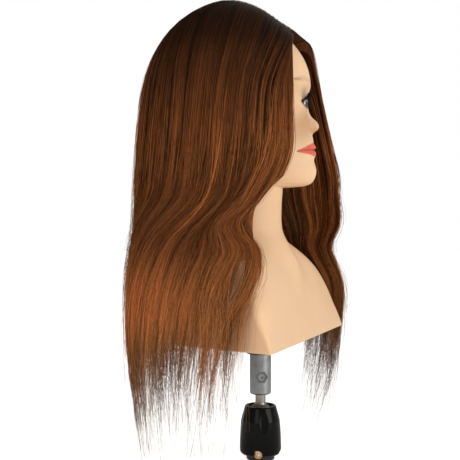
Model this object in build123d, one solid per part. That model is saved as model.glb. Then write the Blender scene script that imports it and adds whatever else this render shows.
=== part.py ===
from build123d import *
import math
import os

os.makedirs("parts", exist_ok=True)

# ---------------------------------------------------------------- driving dimensions (mm, degrees)
# stand clamp
POLE_BORE_R = 12.75          # one-inch pole
POLE_BORE_LEN = 30.0
SOCKET_R = 17.0              # plain lower barrel
SPIGOT_R = 19.0              # barrel the collar screws on to
SPIGOT_TOP = 38.0
BALL_R = 16.0
BALL_Z = 52.0
ROD_R = 6.3
ROD_TOP = 126.0
SEAT_CLEAR = 0.04
SLEEVE_R = 13.0
SLEEVE_BOTTOM = 79.0
SLEEVE_TOP = 205.0
SLEEVE_PIPE_R = 10.0
SLEEVE_SCREW_Z = 100.7
SLEEVE_SCREW_AZ = 207.0      # direction the set screw faces, from +X
NUT_AF = 13.0
NUT_H = 4.0
M8_R = 4.0
M6_R = 3.0
INSERT_R = 5.2
INSERT_Z = 9.2
INSERT_AZ = 191.1
COLLAR_BOTTOM = 7.0
COLLAR_TOP = 65.0
COLLAR_R = 25.2
GRIPS = 4
GRIP_AZ = 210.9              # direction of one grip, from +X
RUN = 0.05                   # running clearance

# head and bust
TURN = 19.4                  # head turned to its left
NECK_Y = 31.0                # neck axis
BUST_Z = 149.0               # cut plane under the bust
SKIN_T = 3.0
CORE_GAP = 0.2
PLATE_T = 8.0
RECEIVER_R = 17.2
RECEIVER_TUBE_R = 16.0
RECEIVER_BOTTOM = 127.8
RECEIVER_FLANGE_R = 30.0
RECEIVER_FLANGE_T = 4.0
RECEIVER_SCREW_PCD_R = 23.0
SCALP_T = 1.0
HAIR_GAP = 0.5


def smooth(t):
    t = max(0.0, min(1.0, t))
    return t * t * (3 - 2 * t)


def turn_at(z):
    return TURN * smooth((z - 262.0) / 63.0)


def place(u, v, z, turn=None):
    a = math.radians(turn_at(z) if turn is None else turn)
    return (u * math.cos(a) - v * math.sin(a), NECK_Y + u * math.sin(a) + v * math.cos(a), z)


def oval(w, vf, vb, vc, nf, nb, n=36):
    """Closed curve in the head's own axes: u to its left, v to its back."""
    pts = []
    for i in range(n):
        a = 2 * math.pi * i / n
        s, c = math.sin(a), math.cos(a)
        if c >= 0:
            e = 2.0 / nf
            v = vc + (vf - vc) * abs(c) ** e
        else:
            e = 2.0 / nb
            v = vc + (vb - vc) * abs(c) ** e
        u = w * math.copysign(abs(s) ** e, s)
        pts.append((u, v))
    return pts


def spaced(pts, n=40):
    """The same closed curve with evenly spaced points."""
    loop = pts + [pts[0]]
    run = [0.0]
    for a, b in zip(loop, loop[1:]):
        run.append(run[-1] + math.dist(a, b))
    out = []
    k = 0
    for i in range(n):
        s = run[-1] * i / n
        while run[k + 1] < s:
            k += 1
        t = (s - run[k]) / max(run[k + 1] - run[k], 1e-9)
        out.append((loop[k][0] + (loop[k + 1][0] - loop[k][0]) * t,
                    loop[k][1] + (loop[k + 1][1] - loop[k][1]) * t))
    return out


def skin_wire(pts3):
    return Wire([Edge.make_spline([Vector(*p) for p in pts3], periodic=True)])


def lofted(rings):
    return Solid.make_loft([skin_wire(r) for r in rings], True)


def curve(table, column, z):
    """Smooth reading of one column of a table whose first column is z."""
    zs = [row[0] for row in table]
    if z <= zs[0]:
        return table[0][column]
    if z >= zs[-1]:
        return table[-1][column]
    k = max(i for i in range(len(zs) - 1) if zs[i] <= z)
    slopes = []
    for i in (k, k + 1):
        lo, hi = max(i - 1, 0), min(i + 1, len(zs) - 1)
        slopes.append((table[hi][column] - table[lo][column]) / (zs[hi] - zs[lo]))
    h = zs[k + 1] - zs[k]
    t = (z - zs[k]) / h
    p0, p1 = table[k][column], table[k + 1][column]
    return ((2 * t ** 3 - 3 * t ** 2 + 1) * p0 + (t ** 3 - 2 * t ** 2 + t) * h * slopes[0]
            + (-2 * t ** 3 + 3 * t ** 2) * p1 + (t ** 3 - t ** 2) * h * slopes[1])


# head sections: z, front, half width, back, widest point, front roundness
HEAD = [
    (331.5, -83.0, 33.0, 50.0, -8.0, 1.75),
    (334.5, -90.5, 40.0, 54.0, -4.0, 1.75),
    (340.0, -95.0, 46.0, 57.0, 0.0, 1.75),
    (350.0, -97.2, 51.0, 60.0, 3.0, 1.75),
    (362.0, -94.5, 55.0, 64.0, 5.0, 1.75),
    (377.0, -91.5, 59.0, 70.0, 7.0, 1.75),
    (394.0, -90.0, 65.0, 78.0, 9.0, 1.95),
    (412.0, -88.0, 70.5, 86.0, 10.0, 2.3),
    (425.0, -87.0, 73.5, 90.0, 10.0, 2.8),
    (434.0, -86.5, 75.0, 92.0, 10.0, 3.0),
    (443.0, -88.0, 76.0, 94.0, 10.0, 2.7),
    (455.0, -90.5, 76.5, 94.0, 10.0, 2.2),
    (472.0, -88.0, 75.5, 92.0, 10.0, 2.15),
    (488.0, -81.5, 71.5, 86.5, 9.0, 2.1),
    (504.0, -70.0, 65.0, 77.0, 8.0, 2.05),
    (518.0, -55.5, 56.5, 65.0, 7.0, 2.0),
    (530.0, -39.0, 45.5, 51.0, 6.5, 2.0),
    (539.0, -22.5, 32.0, 36.5, 6.5, 2.0),
    (544.5, -9.0, 18.0, 22.5, 6.5, 2.0),
    (546.5, -1.0, 8.0, 13.0, 6.5, 2.0),
]
HEAD_Z = ([331.5, 334.5, 340.0, 346.0, 352.0, 358.0, 363.0, 367.0, 370.5, 374.0, 377.0, 380.5, 384.0, 388.0, 393.0,
           397.0, 400.5, 403.5, 406.5, 409.5, 412.5, 416.0, 420.0, 425.0, 429.0, 433.0, 437.0, 441.0, 446.0, 452.0,
           459.0, 468.0, 478.0, 488.0, 497.0, 505.0, 513.0, 521.0, 528.0, 534.0, 539.0, 543.0, 545.2, 546.5])

NOSE = [(396.0, 0.0, 7.0), (399.0, 2.0, 8.0), (402.0, 6.5, 8.0), (405.5, 10.8, 7.4), (409.0, 12.6, 6.4),
        (413.0, 9.6, 5.6), (418.0, 5.2, 5.0), (424.0, 3.0, 4.6), (430.0, 1.6, 5.0), (437.0, 0.6, 6.0), (444.0, 0.0, 7.0)]


def bell(x, s):
    return math.exp(-0.5 * (x / s) ** 2)


def features(u, z):
    """How far the face stands proud of the plain section: nose, lips, eyes, sockets."""
    d = 0.0
    if NOSE[0][0] < z < NOSE[-1][0]:
        d += curve(NOSE, 1, z) * bell(u, curve(NOSE, 2, z))
    d += 2.4 * (bell(abs(u) - 8.2, 3.0)) * bell(z - 403.5, 3.6)
    d += 3.6 * bell(u, 15.0) * bell(z - 383.0, 12.0)
    d += 1.6 * bell(u, 12.0) * bell(z - 381.5, 2.6)
    d += 2.6 * bell(u, 11.0) * bell(z - 371.0, 3.2)
    d -= 1.4 * bell(u, 14.0) * bell(z - 376.6, 1.3)
    for s in (-1, 1):
        d -= 3.2 * bell(u - s * 30.0, 12.0) * bell(z - 445.0, 5.0)
        d += 4.2 * bell(u - s * 31.0, 10.0) * bell(z - 433.5, 5.5)
        d -= 1.2 * bell(u - s * 30.0, 12.0) * bell(z - 423.0, 4.0)
        d += 1.4 * bell(u - s * 38.0, 12.0) * bell(z - 408.0, 11.0)
    return d


def head_ring(z, off, detail):
    w, vf, vb, vc, nf = (curve(HEAD, 2, z), curve(HEAD, 1, z), curve(HEAD, 3, z), curve(HEAD, 4, z), curve(HEAD, 5, z))
    zz = z
    if off < 0:
        zz = z - off * smooth((365.0 - z) / 33.0) + off * smooth((z - 500.0) / 46.0)
    else:
        zz = z - off * smooth((345.0 - z) / 13.0) + off * smooth((z - 500.0) / 46.0)
    loop = spaced(oval(w + off, vf - off, vb + off, vc, nf, 2.0, 256), 72)
    pts = []
    for u, v in loop:
        d = features(u, z) * smooth((vc - 12.0 - v) / 30.0) if detail else 0.0
        pts.append(place(u, v - d, zz, TURN))
    return pts


def head_radius(phi, z):
    """Distance from the head's axis to the plain section, in the direction phi (0 = face, left positive)."""
    w, vf, vb, vc, nf = (curve(HEAD, 2, z), curve(HEAD, 1, z), curve(HEAD, 3, z), curve(HEAD, 4, z), curve(HEAD, 5, z))
    if z > 546.5 or z < 331.5:
        return 0.0
    du, dv = math.sin(phi), -math.cos(phi)
    lo, hi = 0.0, 140.0
    for _ in range(26):
        m = (lo + hi) / 2
        u, v = m * du, m * dv
        if v < vc:
            inside = (abs(u) / w) ** nf + (abs(v - vc) / abs(vf - vc)) ** nf <= 1
        else:
            inside = (abs(u) / w) ** 2 + (abs(v - vc) / abs(vb - vc)) ** 2 <= 1
        if inside:
            lo = m
        else:
            hi = m
    return lo


# bust sections: z, front line, corner x, corner y, side-rear x, back line, corner size
BUST = [
    (149.0, -65.0, 150.0, -64.5, 112.0, 78.0, 5.0),
    (165.0, -61.5, 147.5, -58.0, 112.0, 81.0, 9.0),
    (184.0, -57.5, 143.5, -49.0, 111.0, 84.5, 14.0),
    (205.0, -52.5, 136.5, -41.0, 108.0, 87.5, 20.0),
    (225.0, -46.5, 126.0, -33.0, 101.0, 89.0, 26.0),
    (240.0, -40.0, 110.0, -26.0, 89.0, 89.5, 30.0),
    (252.0, -34.0, 88.0, -20.0, 76.0, 89.0, 34.0),
    (262.0, -28.5, 68.0, -14.0, 66.0, 88.0, 38.0),
]
BUST_LEVELS = [149.0, 157.0, 165.0, 175.0, 184.0, 195.0, 205.0, 215.0, 225.0, 233.0, 240.0, 246.5, 252.0, 257.0, 262.0]
# neck sections: z, front, half width, back
NECK = [
    (270.0, -56.5, 59.5, 56.5),
    (278.0, -55.5, 56.0, 54.5),
    (288.0, -55.0, 53.5, 53.0),
    (300.0, -55.0, 52.0, 52.0),
    (314.0, -55.5, 51.5, 51.5),
    (328.0, -56.5, 51.5, 52.0),
]


def bust_ring(z, off):
    yf, xc, yc, xr, yb, size = [curve(BUST, k, z) for k in range(1, 7)]
    dip = min(1.0, (z - 149.0) / 30.0)
    corners = [(0.0, yf - off), (xc - size * (0.2 + 0.6 * dip), yf - off + (yc - yf) * 0.15),
               (xc + off, yc - off * (1 - dip)), (xr + off, yb + off), (0.0, yb + off)]
    radii = [0.0, size, size, max(size, 26.0), 0.0]
    pts = []
    for i, (p, r) in enumerate(zip(corners, radii)):
        if r <= 0:
            pts.append(p)
            continue
        a, b = corners[i - 1], corners[i + 1]
        da = (a[0] - p[0], a[1] - p[1])
        db = (b[0] - p[0], b[1] - p[1])
        la, lb = math.hypot(*da), math.hypot(*db)
        cut = min(r, la * 0.48, lb * 0.48)
        s = (p[0] + da[0] / la * cut, p[1] + da[1] / la * cut)
        e = (p[0] + db[0] / lb * cut, p[1] + db[1] / lb * cut)
        for k in range(9):
            t = k / 8
            pts.append(((1 - t) ** 2 * s[0] + 2 * t * (1 - t) * p[0] + t * t * e[0],
                        (1 - t) ** 2 * s[1] + 2 * t * (1 - t) * p[1] + t * t * e[1]))
    full = pts + [(-x, y) for x, y in reversed(pts[1:-1])]
    return [(x, y, z) for x, y in spaced(full, 96)]


def neck_ring(z, off):
    pts = spaced(oval(curve(NECK, 2, z) + off, curve(NECK, 1, z) - off, curve(NECK, 3, z) + off, 0.0, 2.0, 2.0, 256), 72)
    zz = z
    if off < 0:
        zz = z - off * smooth((z - 300.0) / 28.0)
    return [place(u, v, zz) for u, v in pts]


def body_rings(off, z0, z1):
    """Rings of the whole figure between two heights."""
    rings = []
    levels = [z for z in BUST_LEVELS if z0 + 0.6 < z < z1 - 0.6]
    if z0 < 262.0:
        levels = [z0] + levels
    rings += [[(x, y, z) for x, y, _ in bust_ring(z, off)] for z in levels]
    rings += [neck_ring(row[0], off) for row in NECK if z0 < row[0] < z1]
    return rings


def even_rings(rings, n=80):
    out = []
    for r in rings:
        z = r[0][2]
        flat = spaced([(p[0], p[1]) for p in r], n)
        out.append([(x, y, z) for x, y in flat])
    return out


def figure_rings(off, detail):
    """Bust, neck and head as one stack of level rings."""
    rings = even_rings(body_rings(off, BUST_Z, 400.0))
    if detail:
        tops = [head_ring(z, off, True) for z in HEAD_Z]
    else:
        tops = [head_ring(z, off, False) for z in HEAD_Z[::2]]
    return rings + even_rings(tops)


def shell_from(outer, inner):
    """Hollow body open at its lowest ring: two stacks of rings joined by a flat rim."""
    a, b = lofted(outer), lofted(inner)
    low = outer[0][0][2]

    def walls(solid):
        return [f for f in solid.faces() if not (f.geom_type == GeomType.PLANE and abs(f.center().Z - low) < 0.01)]

    rim = Face(skin_wire(outer[0]), [skin_wire(inner[0])])
    s = Solid(Shell(walls(a) + walls(b) + [rim]))
    return s


def revolved(points):
    """Turn a closed (radius, z) outline round Z."""
    return revolve(make_face(Plane.XZ * Polyline(*points, close=True)), Axis.Z)


def arc_points(radius, centre, z0, z1, n=14):
    out = []
    for i in range(n + 1):
        z = z0 + (z1 - z0) * i / n
        out.append((math.sqrt(max(radius * radius - (z - centre) ** 2, 0.0)), z))
    return out


def radial(az, z, r0, r1, radius, sides=0, flat=0.0):
    """Round or hexagonal bar lying along the direction az, from r0 to r1."""
    plane = Plane(origin=(r0 * math.cos(math.radians(az)), r0 * math.sin(math.radians(az)), z),
                  x_dir=(-math.sin(math.radians(az)), math.cos(math.radians(az)), 0),
                  z_dir=(math.cos(math.radians(az)), math.sin(math.radians(az)), 0))
    if sides:
        return extrude(plane * RegularPolygon(flat / 2, sides, major_radius=False), r1 - r0)
    return extrude(plane * Circle(radius), r1 - r0)


nodes = {}

# ---------------------------------------------------------------- socket body
body = revolved([
    (0, 0), (SOCKET_R - 0.8, 0), (SOCKET_R, 0.8), (SOCKET_R, 8.0), (SPIGOT_R, 10.0),
    (SPIGOT_R, SPIGOT_TOP - 0.8), (SPIGOT_R - 0.8, SPIGOT_TOP), (0, SPIGOT_TOP),
])
body -= Cylinder(POLE_BORE_R, POLE_BORE_LEN, align=(Align.CENTER, Align.CENTER, Align.MIN))
body -= Cylinder(5.0, SPIGOT_TOP, align=(Align.CENTER, Align.CENTER, Align.MIN))
body -= Pos(0, 0, 33.0) * Cylinder(15.5 + RUN, 10, align=(Align.CENTER, Align.CENTER, Align.MIN))
body -= radial(INSERT_AZ, INSERT_Z, 10.0, 21.0, INSERT_R)
nodes["socket_body"] = body

insert = radial(INSERT_AZ, INSERT_Z, 12.9, 18.6, INSERT_R)
insert -= radial(INSERT_AZ, INSERT_Z, 10.0, 22.0, M6_R + RUN)
insert -= radial(INSERT_AZ, INSERT_Z, 18.0, 19.0, M6_R + 0.9)
insert -= Cylinder(POLE_BORE_R + 0.1, 40)
insert &= Cylinder(SPIGOT_R - 0.05, 60)
nodes["pole_screw_insert"] = insert

screw = radial(INSERT_AZ, INSERT_Z, 13.05, 17.6, M6_R)
screw -= radial(INSERT_AZ, INSERT_Z, 15.0, 19.0, 0, 6, 3.0)
nodes["pole_screw"] = screw

# ---------------------------------------------------------------- ball seat, ball stud, thrust ring
seat_r = BALL_R + SEAT_CLEAR
seat = revolved(
    [(7.5, 33.2), (15.5, 33.2), (15.5, 38.2), (16.9, 38.2), (16.9, 47.0)]
    + list(reversed(arc_points(seat_r, BALL_Z, BALL_Z - math.sqrt(seat_r ** 2 - 7.5 ** 2), 47.0)))
)
nodes["lower_seat"] = seat

stud = Pos(0, 0, BALL_Z) * Sphere(BALL_R)
stud += Pos(0, 0, BALL_Z) * Cylinder(ROD_R, ROD_TOP - BALL_Z, align=(Align.CENTER, Align.CENTER, Align.MIN))
stud += revolved([(0, 64.0), (8.6, 65.2), (7.2, 66.6), (ROD_R, 68.6), (0, 68.6)])
groove = Pos(0, 0, SLEEVE_SCREW_Z) * (Cylinder(ROD_R + 2, 8.8) - Cylinder(5.9, 8.8))
stud -= groove
top_edges = stud.edges().filter_by(GeomType.CIRCLE).sort_by(Axis.Z)[-1:]
stud = chamfer(top_edges, 1.0)
nodes["ball_stud"] = stud

ring_in = arc_points(BALL_R + RUN, BALL_Z, 52.6, 58.5)
ring_out = arc_points(17.0, BALL_Z, 52.6, 58.5)
nodes["thrust_ring"] = revolved(ring_in + list(reversed(ring_out)))

# ---------------------------------------------------------------- locking collar
outer = [(22.6, COLLAR_BOTTOM), (24.4, 8.6), (25.0, 10.8), (COLLAR_R, 14.0), (25.1, 22.0), (24.8, 30.0),
         (24.3, 39.0), (23.5, 47.6), (22.0, 53.5), (20.3, 59.5), (19.2, 63.6), (18.4, COLLAR_TOP)]
inner = ([(16.5, COLLAR_TOP), (13.75, 60.8), (14.8, 58.62)]
         + list(reversed(arc_points(17.06, BALL_Z, 52.0, 58.62)))
         + [(17.06, 42.0), (SPIGOT_R + RUN, 40.0), (SPIGOT_R + RUN, 9.0), (20.6, COLLAR_BOTTOM)])
collar = revolved(outer + inner)
for k in range(GRIPS):
    az = GRIP_AZ + 360.0 / GRIPS * k
    # a leaning round scoop: line from (17.4, 59.5) to (24.6, 20)
    lean = math.degrees(math.atan2(24.6 - 17.4, 59.5 - 20.0))
    big = 26.0
    tool = Pos(0, 0, 0) * Cylinder(big, 90, align=(Align.CENTER, Align.CENTER, Align.MIN))
    tool += Sphere(big)
    # shallow rounded foot of the scoop
    start = (24.2 + big * math.cos(math.radians(lean)), 41.0)
    tool = Pos(start[0], 0, start[1]) * Rot(0, -lean, 0) * Pos(0, 0, -6) * tool
    collar -= Rot(0, 0, az) * tool
for k in range(GRIPS):
    az = INSERT_AZ + 360.0 / GRIPS * k
    collar -= radial(az, INSERT_Z, 17.5, 30.0, 6.0)
    collar -= radial(az + 26.0, COLLAR_BOTTOM, 17.5, 30.0, 2.2)
nodes["lock_collar"] = collar

# ---------------------------------------------------------------- sleeve, nut, set screw
sleeve = revolved([
    (ROD_R + RUN, SLEEVE_BOTTOM), (SLEEVE_R - 1.5, SLEEVE_BOTTOM), (SLEEVE_R, SLEEVE_BOTTOM + 1.6),
    (SLEEVE_R, SLEEVE_TOP - 2.0), (SLEEVE_R - 1.5, SLEEVE_TOP), (SLEEVE_PIPE_R, SLEEVE_TOP),
    (SLEEVE_PIPE_R, 132.0), (0, 132.0), (0, 128.0), (ROD_R + RUN, 128.0),
])
sleeve -= radial(SLEEVE_SCREW_AZ, SLEEVE_SCREW_Z, 8.2, 16.0, 0, 6, NUT_AF + 0.15)
sleeve -= radial(SLEEVE_SCREW_AZ, SLEEVE_SCREW_Z, 2.0, 10.0, M8_R + 0.2)
nodes["mounting_sleeve"] = sleeve

nut = radial(SLEEVE_SCREW_AZ, SLEEVE_SCREW_Z, 8.25, 8.25 + NUT_H, 0, 6, NUT_AF)
nut -= radial(SLEEVE_SCREW_AZ, SLEEVE_SCREW_Z, 5.0, 15.0, M8_R + RUN)
nodes["sleeve_nut"] = nut

sscrew = radial(SLEEVE_SCREW_AZ, SLEEVE_SCREW_Z, 6.0, 11.6, M8_R)
sscrew -= radial(SLEEVE_SCREW_AZ, SLEEVE_SCREW_Z, 8.6, 13.0, 0, 6, 4.0)
nodes["sleeve_screw"] = sscrew

# ---------------------------------------------------------------- receiver, base plate, screws
receiver = revolved([
    (SLEEVE_R + 0.1, RECEIVER_BOTTOM), (RECEIVER_R - 1.0, RECEIVER_BOTTOM), (RECEIVER_R, RECEIVER_BOTTOM + 1.0),
    (RECEIVER_R, BUST_Z - RECEIVER_FLANGE_T - 1.5), (RECEIVER_R + 1.5, BUST_Z - RECEIVER_FLANGE_T),
    (RECEIVER_FLANGE_R - 0.8, BUST_Z - RECEIVER_FLANGE_T), (RECEIVER_FLANGE_R, BUST_Z - RECEIVER_FLANGE_T + 0.8),
    (RECEIVER_FLANGE_R, BUST_Z), (RECEIVER_TUBE_R, BUST_Z), (RECEIVER_TUBE_R, 209.0), (0, 209.0),
    (0, SLEEVE_TOP + 0.05), (SLEEVE_R + 0.1, SLEEVE_TOP + 0.05),
])
screws = None
holes = None
for k in range(4):
    a = math.radians(45 + 90 * k)
    x, y = RECEIVER_SCREW_PCD_R * math.cos(a), RECEIVER_SCREW_PCD_R * math.sin(a)
    z0 = BUST_Z - RECEIVER_FLANGE_T
    one = Pos(x, y, 0) * revolved([(0, z0 + 0.1), (3.6, z0 + 0.1), (2.0, z0 + 2.2), (2.0, z0 + 9.6), (1.0, z0 + 11.2), (0, z0 + 11.2)])
    slot = Pos(x, y, z0 + 0.1) * (Box(4.6, 0.9, 2.2) + Box(0.9, 4.6, 2.2))
    one -= slot
    screws = one if screws is None else screws + one
    hole = Pos(x, y, 0) * revolved([(0, z0 - 0.1), (3.95, z0 - 0.1), (2.12, z0 + 2.3), (2.12, z0 + 11.4), (0, z0 + 11.4)])
    holes = hole if holes is None else holes + hole
receiver -= holes
nodes["receiver_tube"] = receiver
nodes["receiver_screws"] = screws

plate = extrude(Face(skin_wire(bust_ring(BUST_Z, -SKIN_T - 0.2))), PLATE_T, dir=(0, 0, 1))
plate -= Cylinder(RECEIVER_TUBE_R + 0.1, 400)
plate -= holes
nodes["base_plate"] = plate

# ---------------------------------------------------------------- skin shell and foam cores
nodes["head_skin"] = shell_from(figure_rings(0.0, True), figure_rings(-SKIN_T, False))

core_off = -SKIN_T - CORE_GAP
core_top = [head_ring(z, core_off, False) for z in HEAD_Z[2::2]]
nodes["head_filler"] = lofted(even_rings(core_top))
core_low = even_rings(body_rings(core_off, BUST_Z + PLATE_T + 0.3, 400.0))
nodes["bust_filler"] = lofted(core_low) - Cylinder(RECEIVER_TUBE_R + 0.3, 418.6)

# ---------------------------------------------------------------- scalp cap, as rings parallel to the hairline
CAP_TILT = 48.0
CAP_PIVOT = (-70.5, 502.0)          # hairline centre: v, z
CAP_STEPS = [0.0, 0.05, 0.12, 0.21, 0.32, 0.45, 0.58, 0.71, 0.82, 0.91, 0.965, 0.992]


def inside_head(u, v, z, off):
    zz = z - off * smooth((z - 500.0) / 46.0)
    if not 331.5 < zz < 546.5:
        return False
    w, vf, vb, vc, nf = [curve(HEAD, k, zz) for k in (2, 1, 3, 4, 5)]
    w, vf, vb = w + off, vf - off, vb + off
    if v < vc:
        return (abs(u) / w) ** nf + ((vc - v) / (vc - vf)) ** nf <= 1
    return (abs(u) / w) ** 2 + ((v - vc) / (vb - vc)) ** 2 <= 1


def cap_rings(off, n=64):
    t = math.radians(CAP_TILT)
    nv, nz = math.sin(t), math.cos(t)              # plane normal, up and back
    dv, dz = -math.cos(t), math.sin(t)             # in the plane, towards the hairline
    apex = max(((v / 2.0, z / 2.0) for v in range(-40, 200) for z in range(900, 1098)
                if inside_head(0.0, v / 2.0, z / 2.0, off)), key=lambda p: p[0] * nv + p[1] * nz)
    full = (apex[0] - CAP_PIVOT[0]) * nv + (apex[1] - CAP_PIVOT[1]) * nz
    rings = []
    for step in CAP_STEPS:
        back = full * (1 - step)
        cv, cz = apex[0] - back * nv, apex[1] - back * nz
        ring = []
        for i in range(n):
            a = 2 * math.pi * i / n
            lo, hi = 0.0, 170.0
            for _ in range(28):
                m = (lo + hi) / 2
                if inside_head(m * math.sin(a), cv + m * math.cos(a) * dv, cz + m * math.cos(a) * dz, off):
                    lo = m
                else:
                    hi = m
            ring.append(place(lo * math.sin(a), cv + lo * math.cos(a) * dv, cz + lo * math.cos(a) * dz, TURN))
        rings.append(ring)
    return rings


def cap_shell(inner_off, outer_off):
    outer, inner = cap_rings(outer_off), cap_rings(inner_off)
    a, b = lofted(outer), lofted(inner)
    rim = Face(skin_wire(outer[0]), [skin_wire(inner[0])])
    c = rim.center()

    def walls(solid):
        planes = [f for f in solid.faces() if f.geom_type == GeomType.PLANE]
        low = min(planes, key=lambda f: (f.center() - c).length)
        return [f for f in solid.faces() if (f.center() - low.center()).length > 1e-6]

    return Solid(Shell(walls(a) + walls(b) + [rim]))


nodes["scalp_cap"] = cap_shell(0.8, 0.8 + SCALP_T)

# ---------------------------------------------------------------- lashes
for side, name in ((-1, "eyelash_right"), (1, "eyelash_left")):
    outer_arc = [(-13.5, 4.5), (-9.0, -3.5), (0.0, -7.5), (9.0, -3.5), (13.5, 4.5)]
    inner_arc = [(12.0, 5.5), (7.5, 0.0), (0.0, -2.5), (-7.5, 0.0), (-12.0, 5.5)]
    shape = make_face(Polyline(*outer_arc, *inner_arc, close=True))
    strip = extrude(shape, 0.8)
    x, y, z = place(side * 31.0, -87.5, 440.5, TURN)
    nodes[name] = Pos(x, y, z) * Rot(0, 0, TURN + side * 10.0) * Rot(-38, 0, 0) * strip

# ---------------------------------------------------------------- hair, in sections
# z, half width, front, back
HAIR = [
    (8.0, 146.0, 104.0, 126.0),
    (60.0, 160.0, 116.0, 134.0),
    (110.0, 166.0, 124.0, 136.0),
    (150.0, 168.0, 127.0, 135.5),
    (190.0, 166.0, 128.0, 134.0),
    (225.0, 157.0, 128.0, 132.5),
    (252.0, 141.0, 128.0, 131.0),
    (280.0, 121.0, 128.0, 130.0),
    (312.0, 106.0, 128.0, 129.0),
    (350.0, 98.0, 125.0, 126.0),
    (390.0, 95.0, 119.0, 121.0),
    (430.0, 93.0, 112.0, 118.5),
    (465.0, 91.0, 104.0, 115.0),
    (492.0, 85.0, 96.0, 106.0),
    (512.0, 77.0, 84.0, 94.5),
    (530.0, 63.0, 67.0, 77.0),
    (543.0, 46.0, 48.0, 57.0),
    (551.0, 29.0, 29.0, 38.0),
    (555.5, 12.0, 12.0, 20.0),
]
HAIR_LEVELS = [555.5, 553.5, 551.0, 547.5, 543.0, 537.0, 530.0, 521.0, 512.0, 500.5, 499.5, 492.0, 479.0, 465.0, 448.0,
               430.0, 410.0, 390.0, 370.0, 350.0, 331.0, 312.0, 296.0, 280.0, 266.0, 252.0, 238.0, 225.0, 207.0,
               190.0, 170.0, 150.0, 130.0, 110.0, 85.0, 60.0, 34.0, 8.0]


def polygon_radius(ring, phi, z):
    """Distance from the neck axis to a level ring, in the direction phi from the face."""
    a = math.radians(turn_at(z) - 90.0) + phi
    dx, dy = math.cos(a), math.sin(a)
    best = 0.0
    for (x0, y0, _), (x1, y1, _) in zip(ring, ring[1:] + ring[:1]):
        x0, y0, x1, y1 = x0, y0 - NECK_Y, x1, y1 - NECK_Y
        ex, ey = x1 - x0, y1 - y0
        den = dx * ey - dy * ex
        if abs(den) < 1e-9:
            continue
        t = (x0 * ey - y0 * ex) / den
        s = (x0 * dy - y0 * dx) / den
        if t > 0 and -1e-6 <= s <= 1 + 1e-6:
            best = max(best, t)
    return best


def figure_radius(phi, z):
    """Largest radius of the figure near this height."""
    best = 0.0
    for zz in (z - 9.0, z, z + 9.0):
        if zz > 331.5:
            best = max(best, head_radius(phi, zz))
        elif zz > 262.0:
            best = max(best, polygon_radius(neck_ring(max(zz, 270.0), 0.0), phi, zz))
        elif zz > 140.0:
            best = max(best, polygon_radius(bust_ring(max(zz, BUST_Z), 0.0), phi, zz))
    return best


def hair_radius(phi, z):
    w, f, b = curve(HAIR, 1, z), curve(HAIR, 2, z), curve(HAIR, 3, z)
    d = f if math.cos(phi) > 0 else b
    return 1.0 / (((abs(math.sin(phi)) / w) ** 2.2 + (abs(math.cos(phi)) / d) ** 2.2) ** (1 / 2.2))


# front edge of the face-framing locks: z, angle from the face
EDGE_RIGHT = [(120.0, -66.0), (165.0, -65.0), (196.0, -63.0), (246.0, -60.0), (286.0, -59.0), (324.0, -53.0), (350.0, -50.0)]
EDGE_LEFT = [(120.0, 62.0), (160.0, 61.0), (193.0, 59.0), (223.0, 53.0), (260.0, 41.0), (290.0, 31.0), (353.0, 28.0)]


def lock(first, last, z0, z1, thick):
    """A lock of hair: a curved slab between two directions, following the figure."""
    sections_ = []
    for z in sorted(z for z in HAIR_LEVELS if z0 <= z <= z1):
        outer_pts, inner_pts = [], []
        a0 = curve(first, 1, z) if isinstance(first, list) else first
        a1 = curve(last, 1, z) if isinstance(last, list) else last
        n = 18 if z0 > 400 else 12
        for i in range(n + 1):
            phi = math.radians(a0 + (a1 - a0) * i / n)
            r_out = hair_radius(phi, z)
            r_in = max(r_out - thick, 2.5)
            body_r = max(figure_radius(phi + d, z) for d in (-0.06, 0.0, 0.06))
            if z > 331.0:
                if 500.0 <= z:
                    r_in = max(2.5, min(r_in, head_radius(phi, z - 3.0) + 4.0)) if z < 549.0 else 2.5
                    body_r = head_radius(phi, z - 3.0) if z < 549.0 else 0.0
            if body_r > 0:
                r_in = max(r_in, body_r + 3.2)
            r_out = max(r_out, r_in + 4.0)
            outer_pts.append(place(r_out * math.sin(phi), -r_out * math.cos(phi), z))
            inner_pts.append(place(r_in * math.sin(phi), -r_in * math.cos(phi), z))
        w = Wire([
            Edge.make_spline([Vector(*p) for p in outer_pts]),
            Edge.make_line(Vector(*outer_pts[-1]), Vector(*inner_pts[-1])),
            Edge.make_spline([Vector(*p) for p in reversed(inner_pts)]),
            Edge.make_line(Vector(*inner_pts[0]), Vector(*outer_pts[0])),
        ])
        sections_.append(w)
    return Solid.make_loft(sections_, True)


nodes["hair_top_right"] = lock(-179.7, -0.3, 500.2, 556.0, 60.0)
nodes["hair_top_left"] = lock(0.3, 179.7, 500.2, 556.0, 60.0)
nodes["hair_front_right"] = lock(-84.0, EDGE_RIGHT, 85.0, 500.0, 11.0)
nodes["hair_front_left"] = lock(EDGE_LEFT, 78.0, 34.0, 500.0, 11.0)
nodes["hair_side_right"] = lock(-122.0, -84.4, 34.0, 500.0, 11.0)
nodes["hair_side_left"] = lock(78.4, 122.0, 34.0, 500.0, 11.0)
nodes["hair_back"] = lock(122.4, 237.6, 8.0, 500.0, 11.0)

for name, shape in nodes.items():
    export_step(shape, f"parts/{name}.step")
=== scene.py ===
import math

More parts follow.
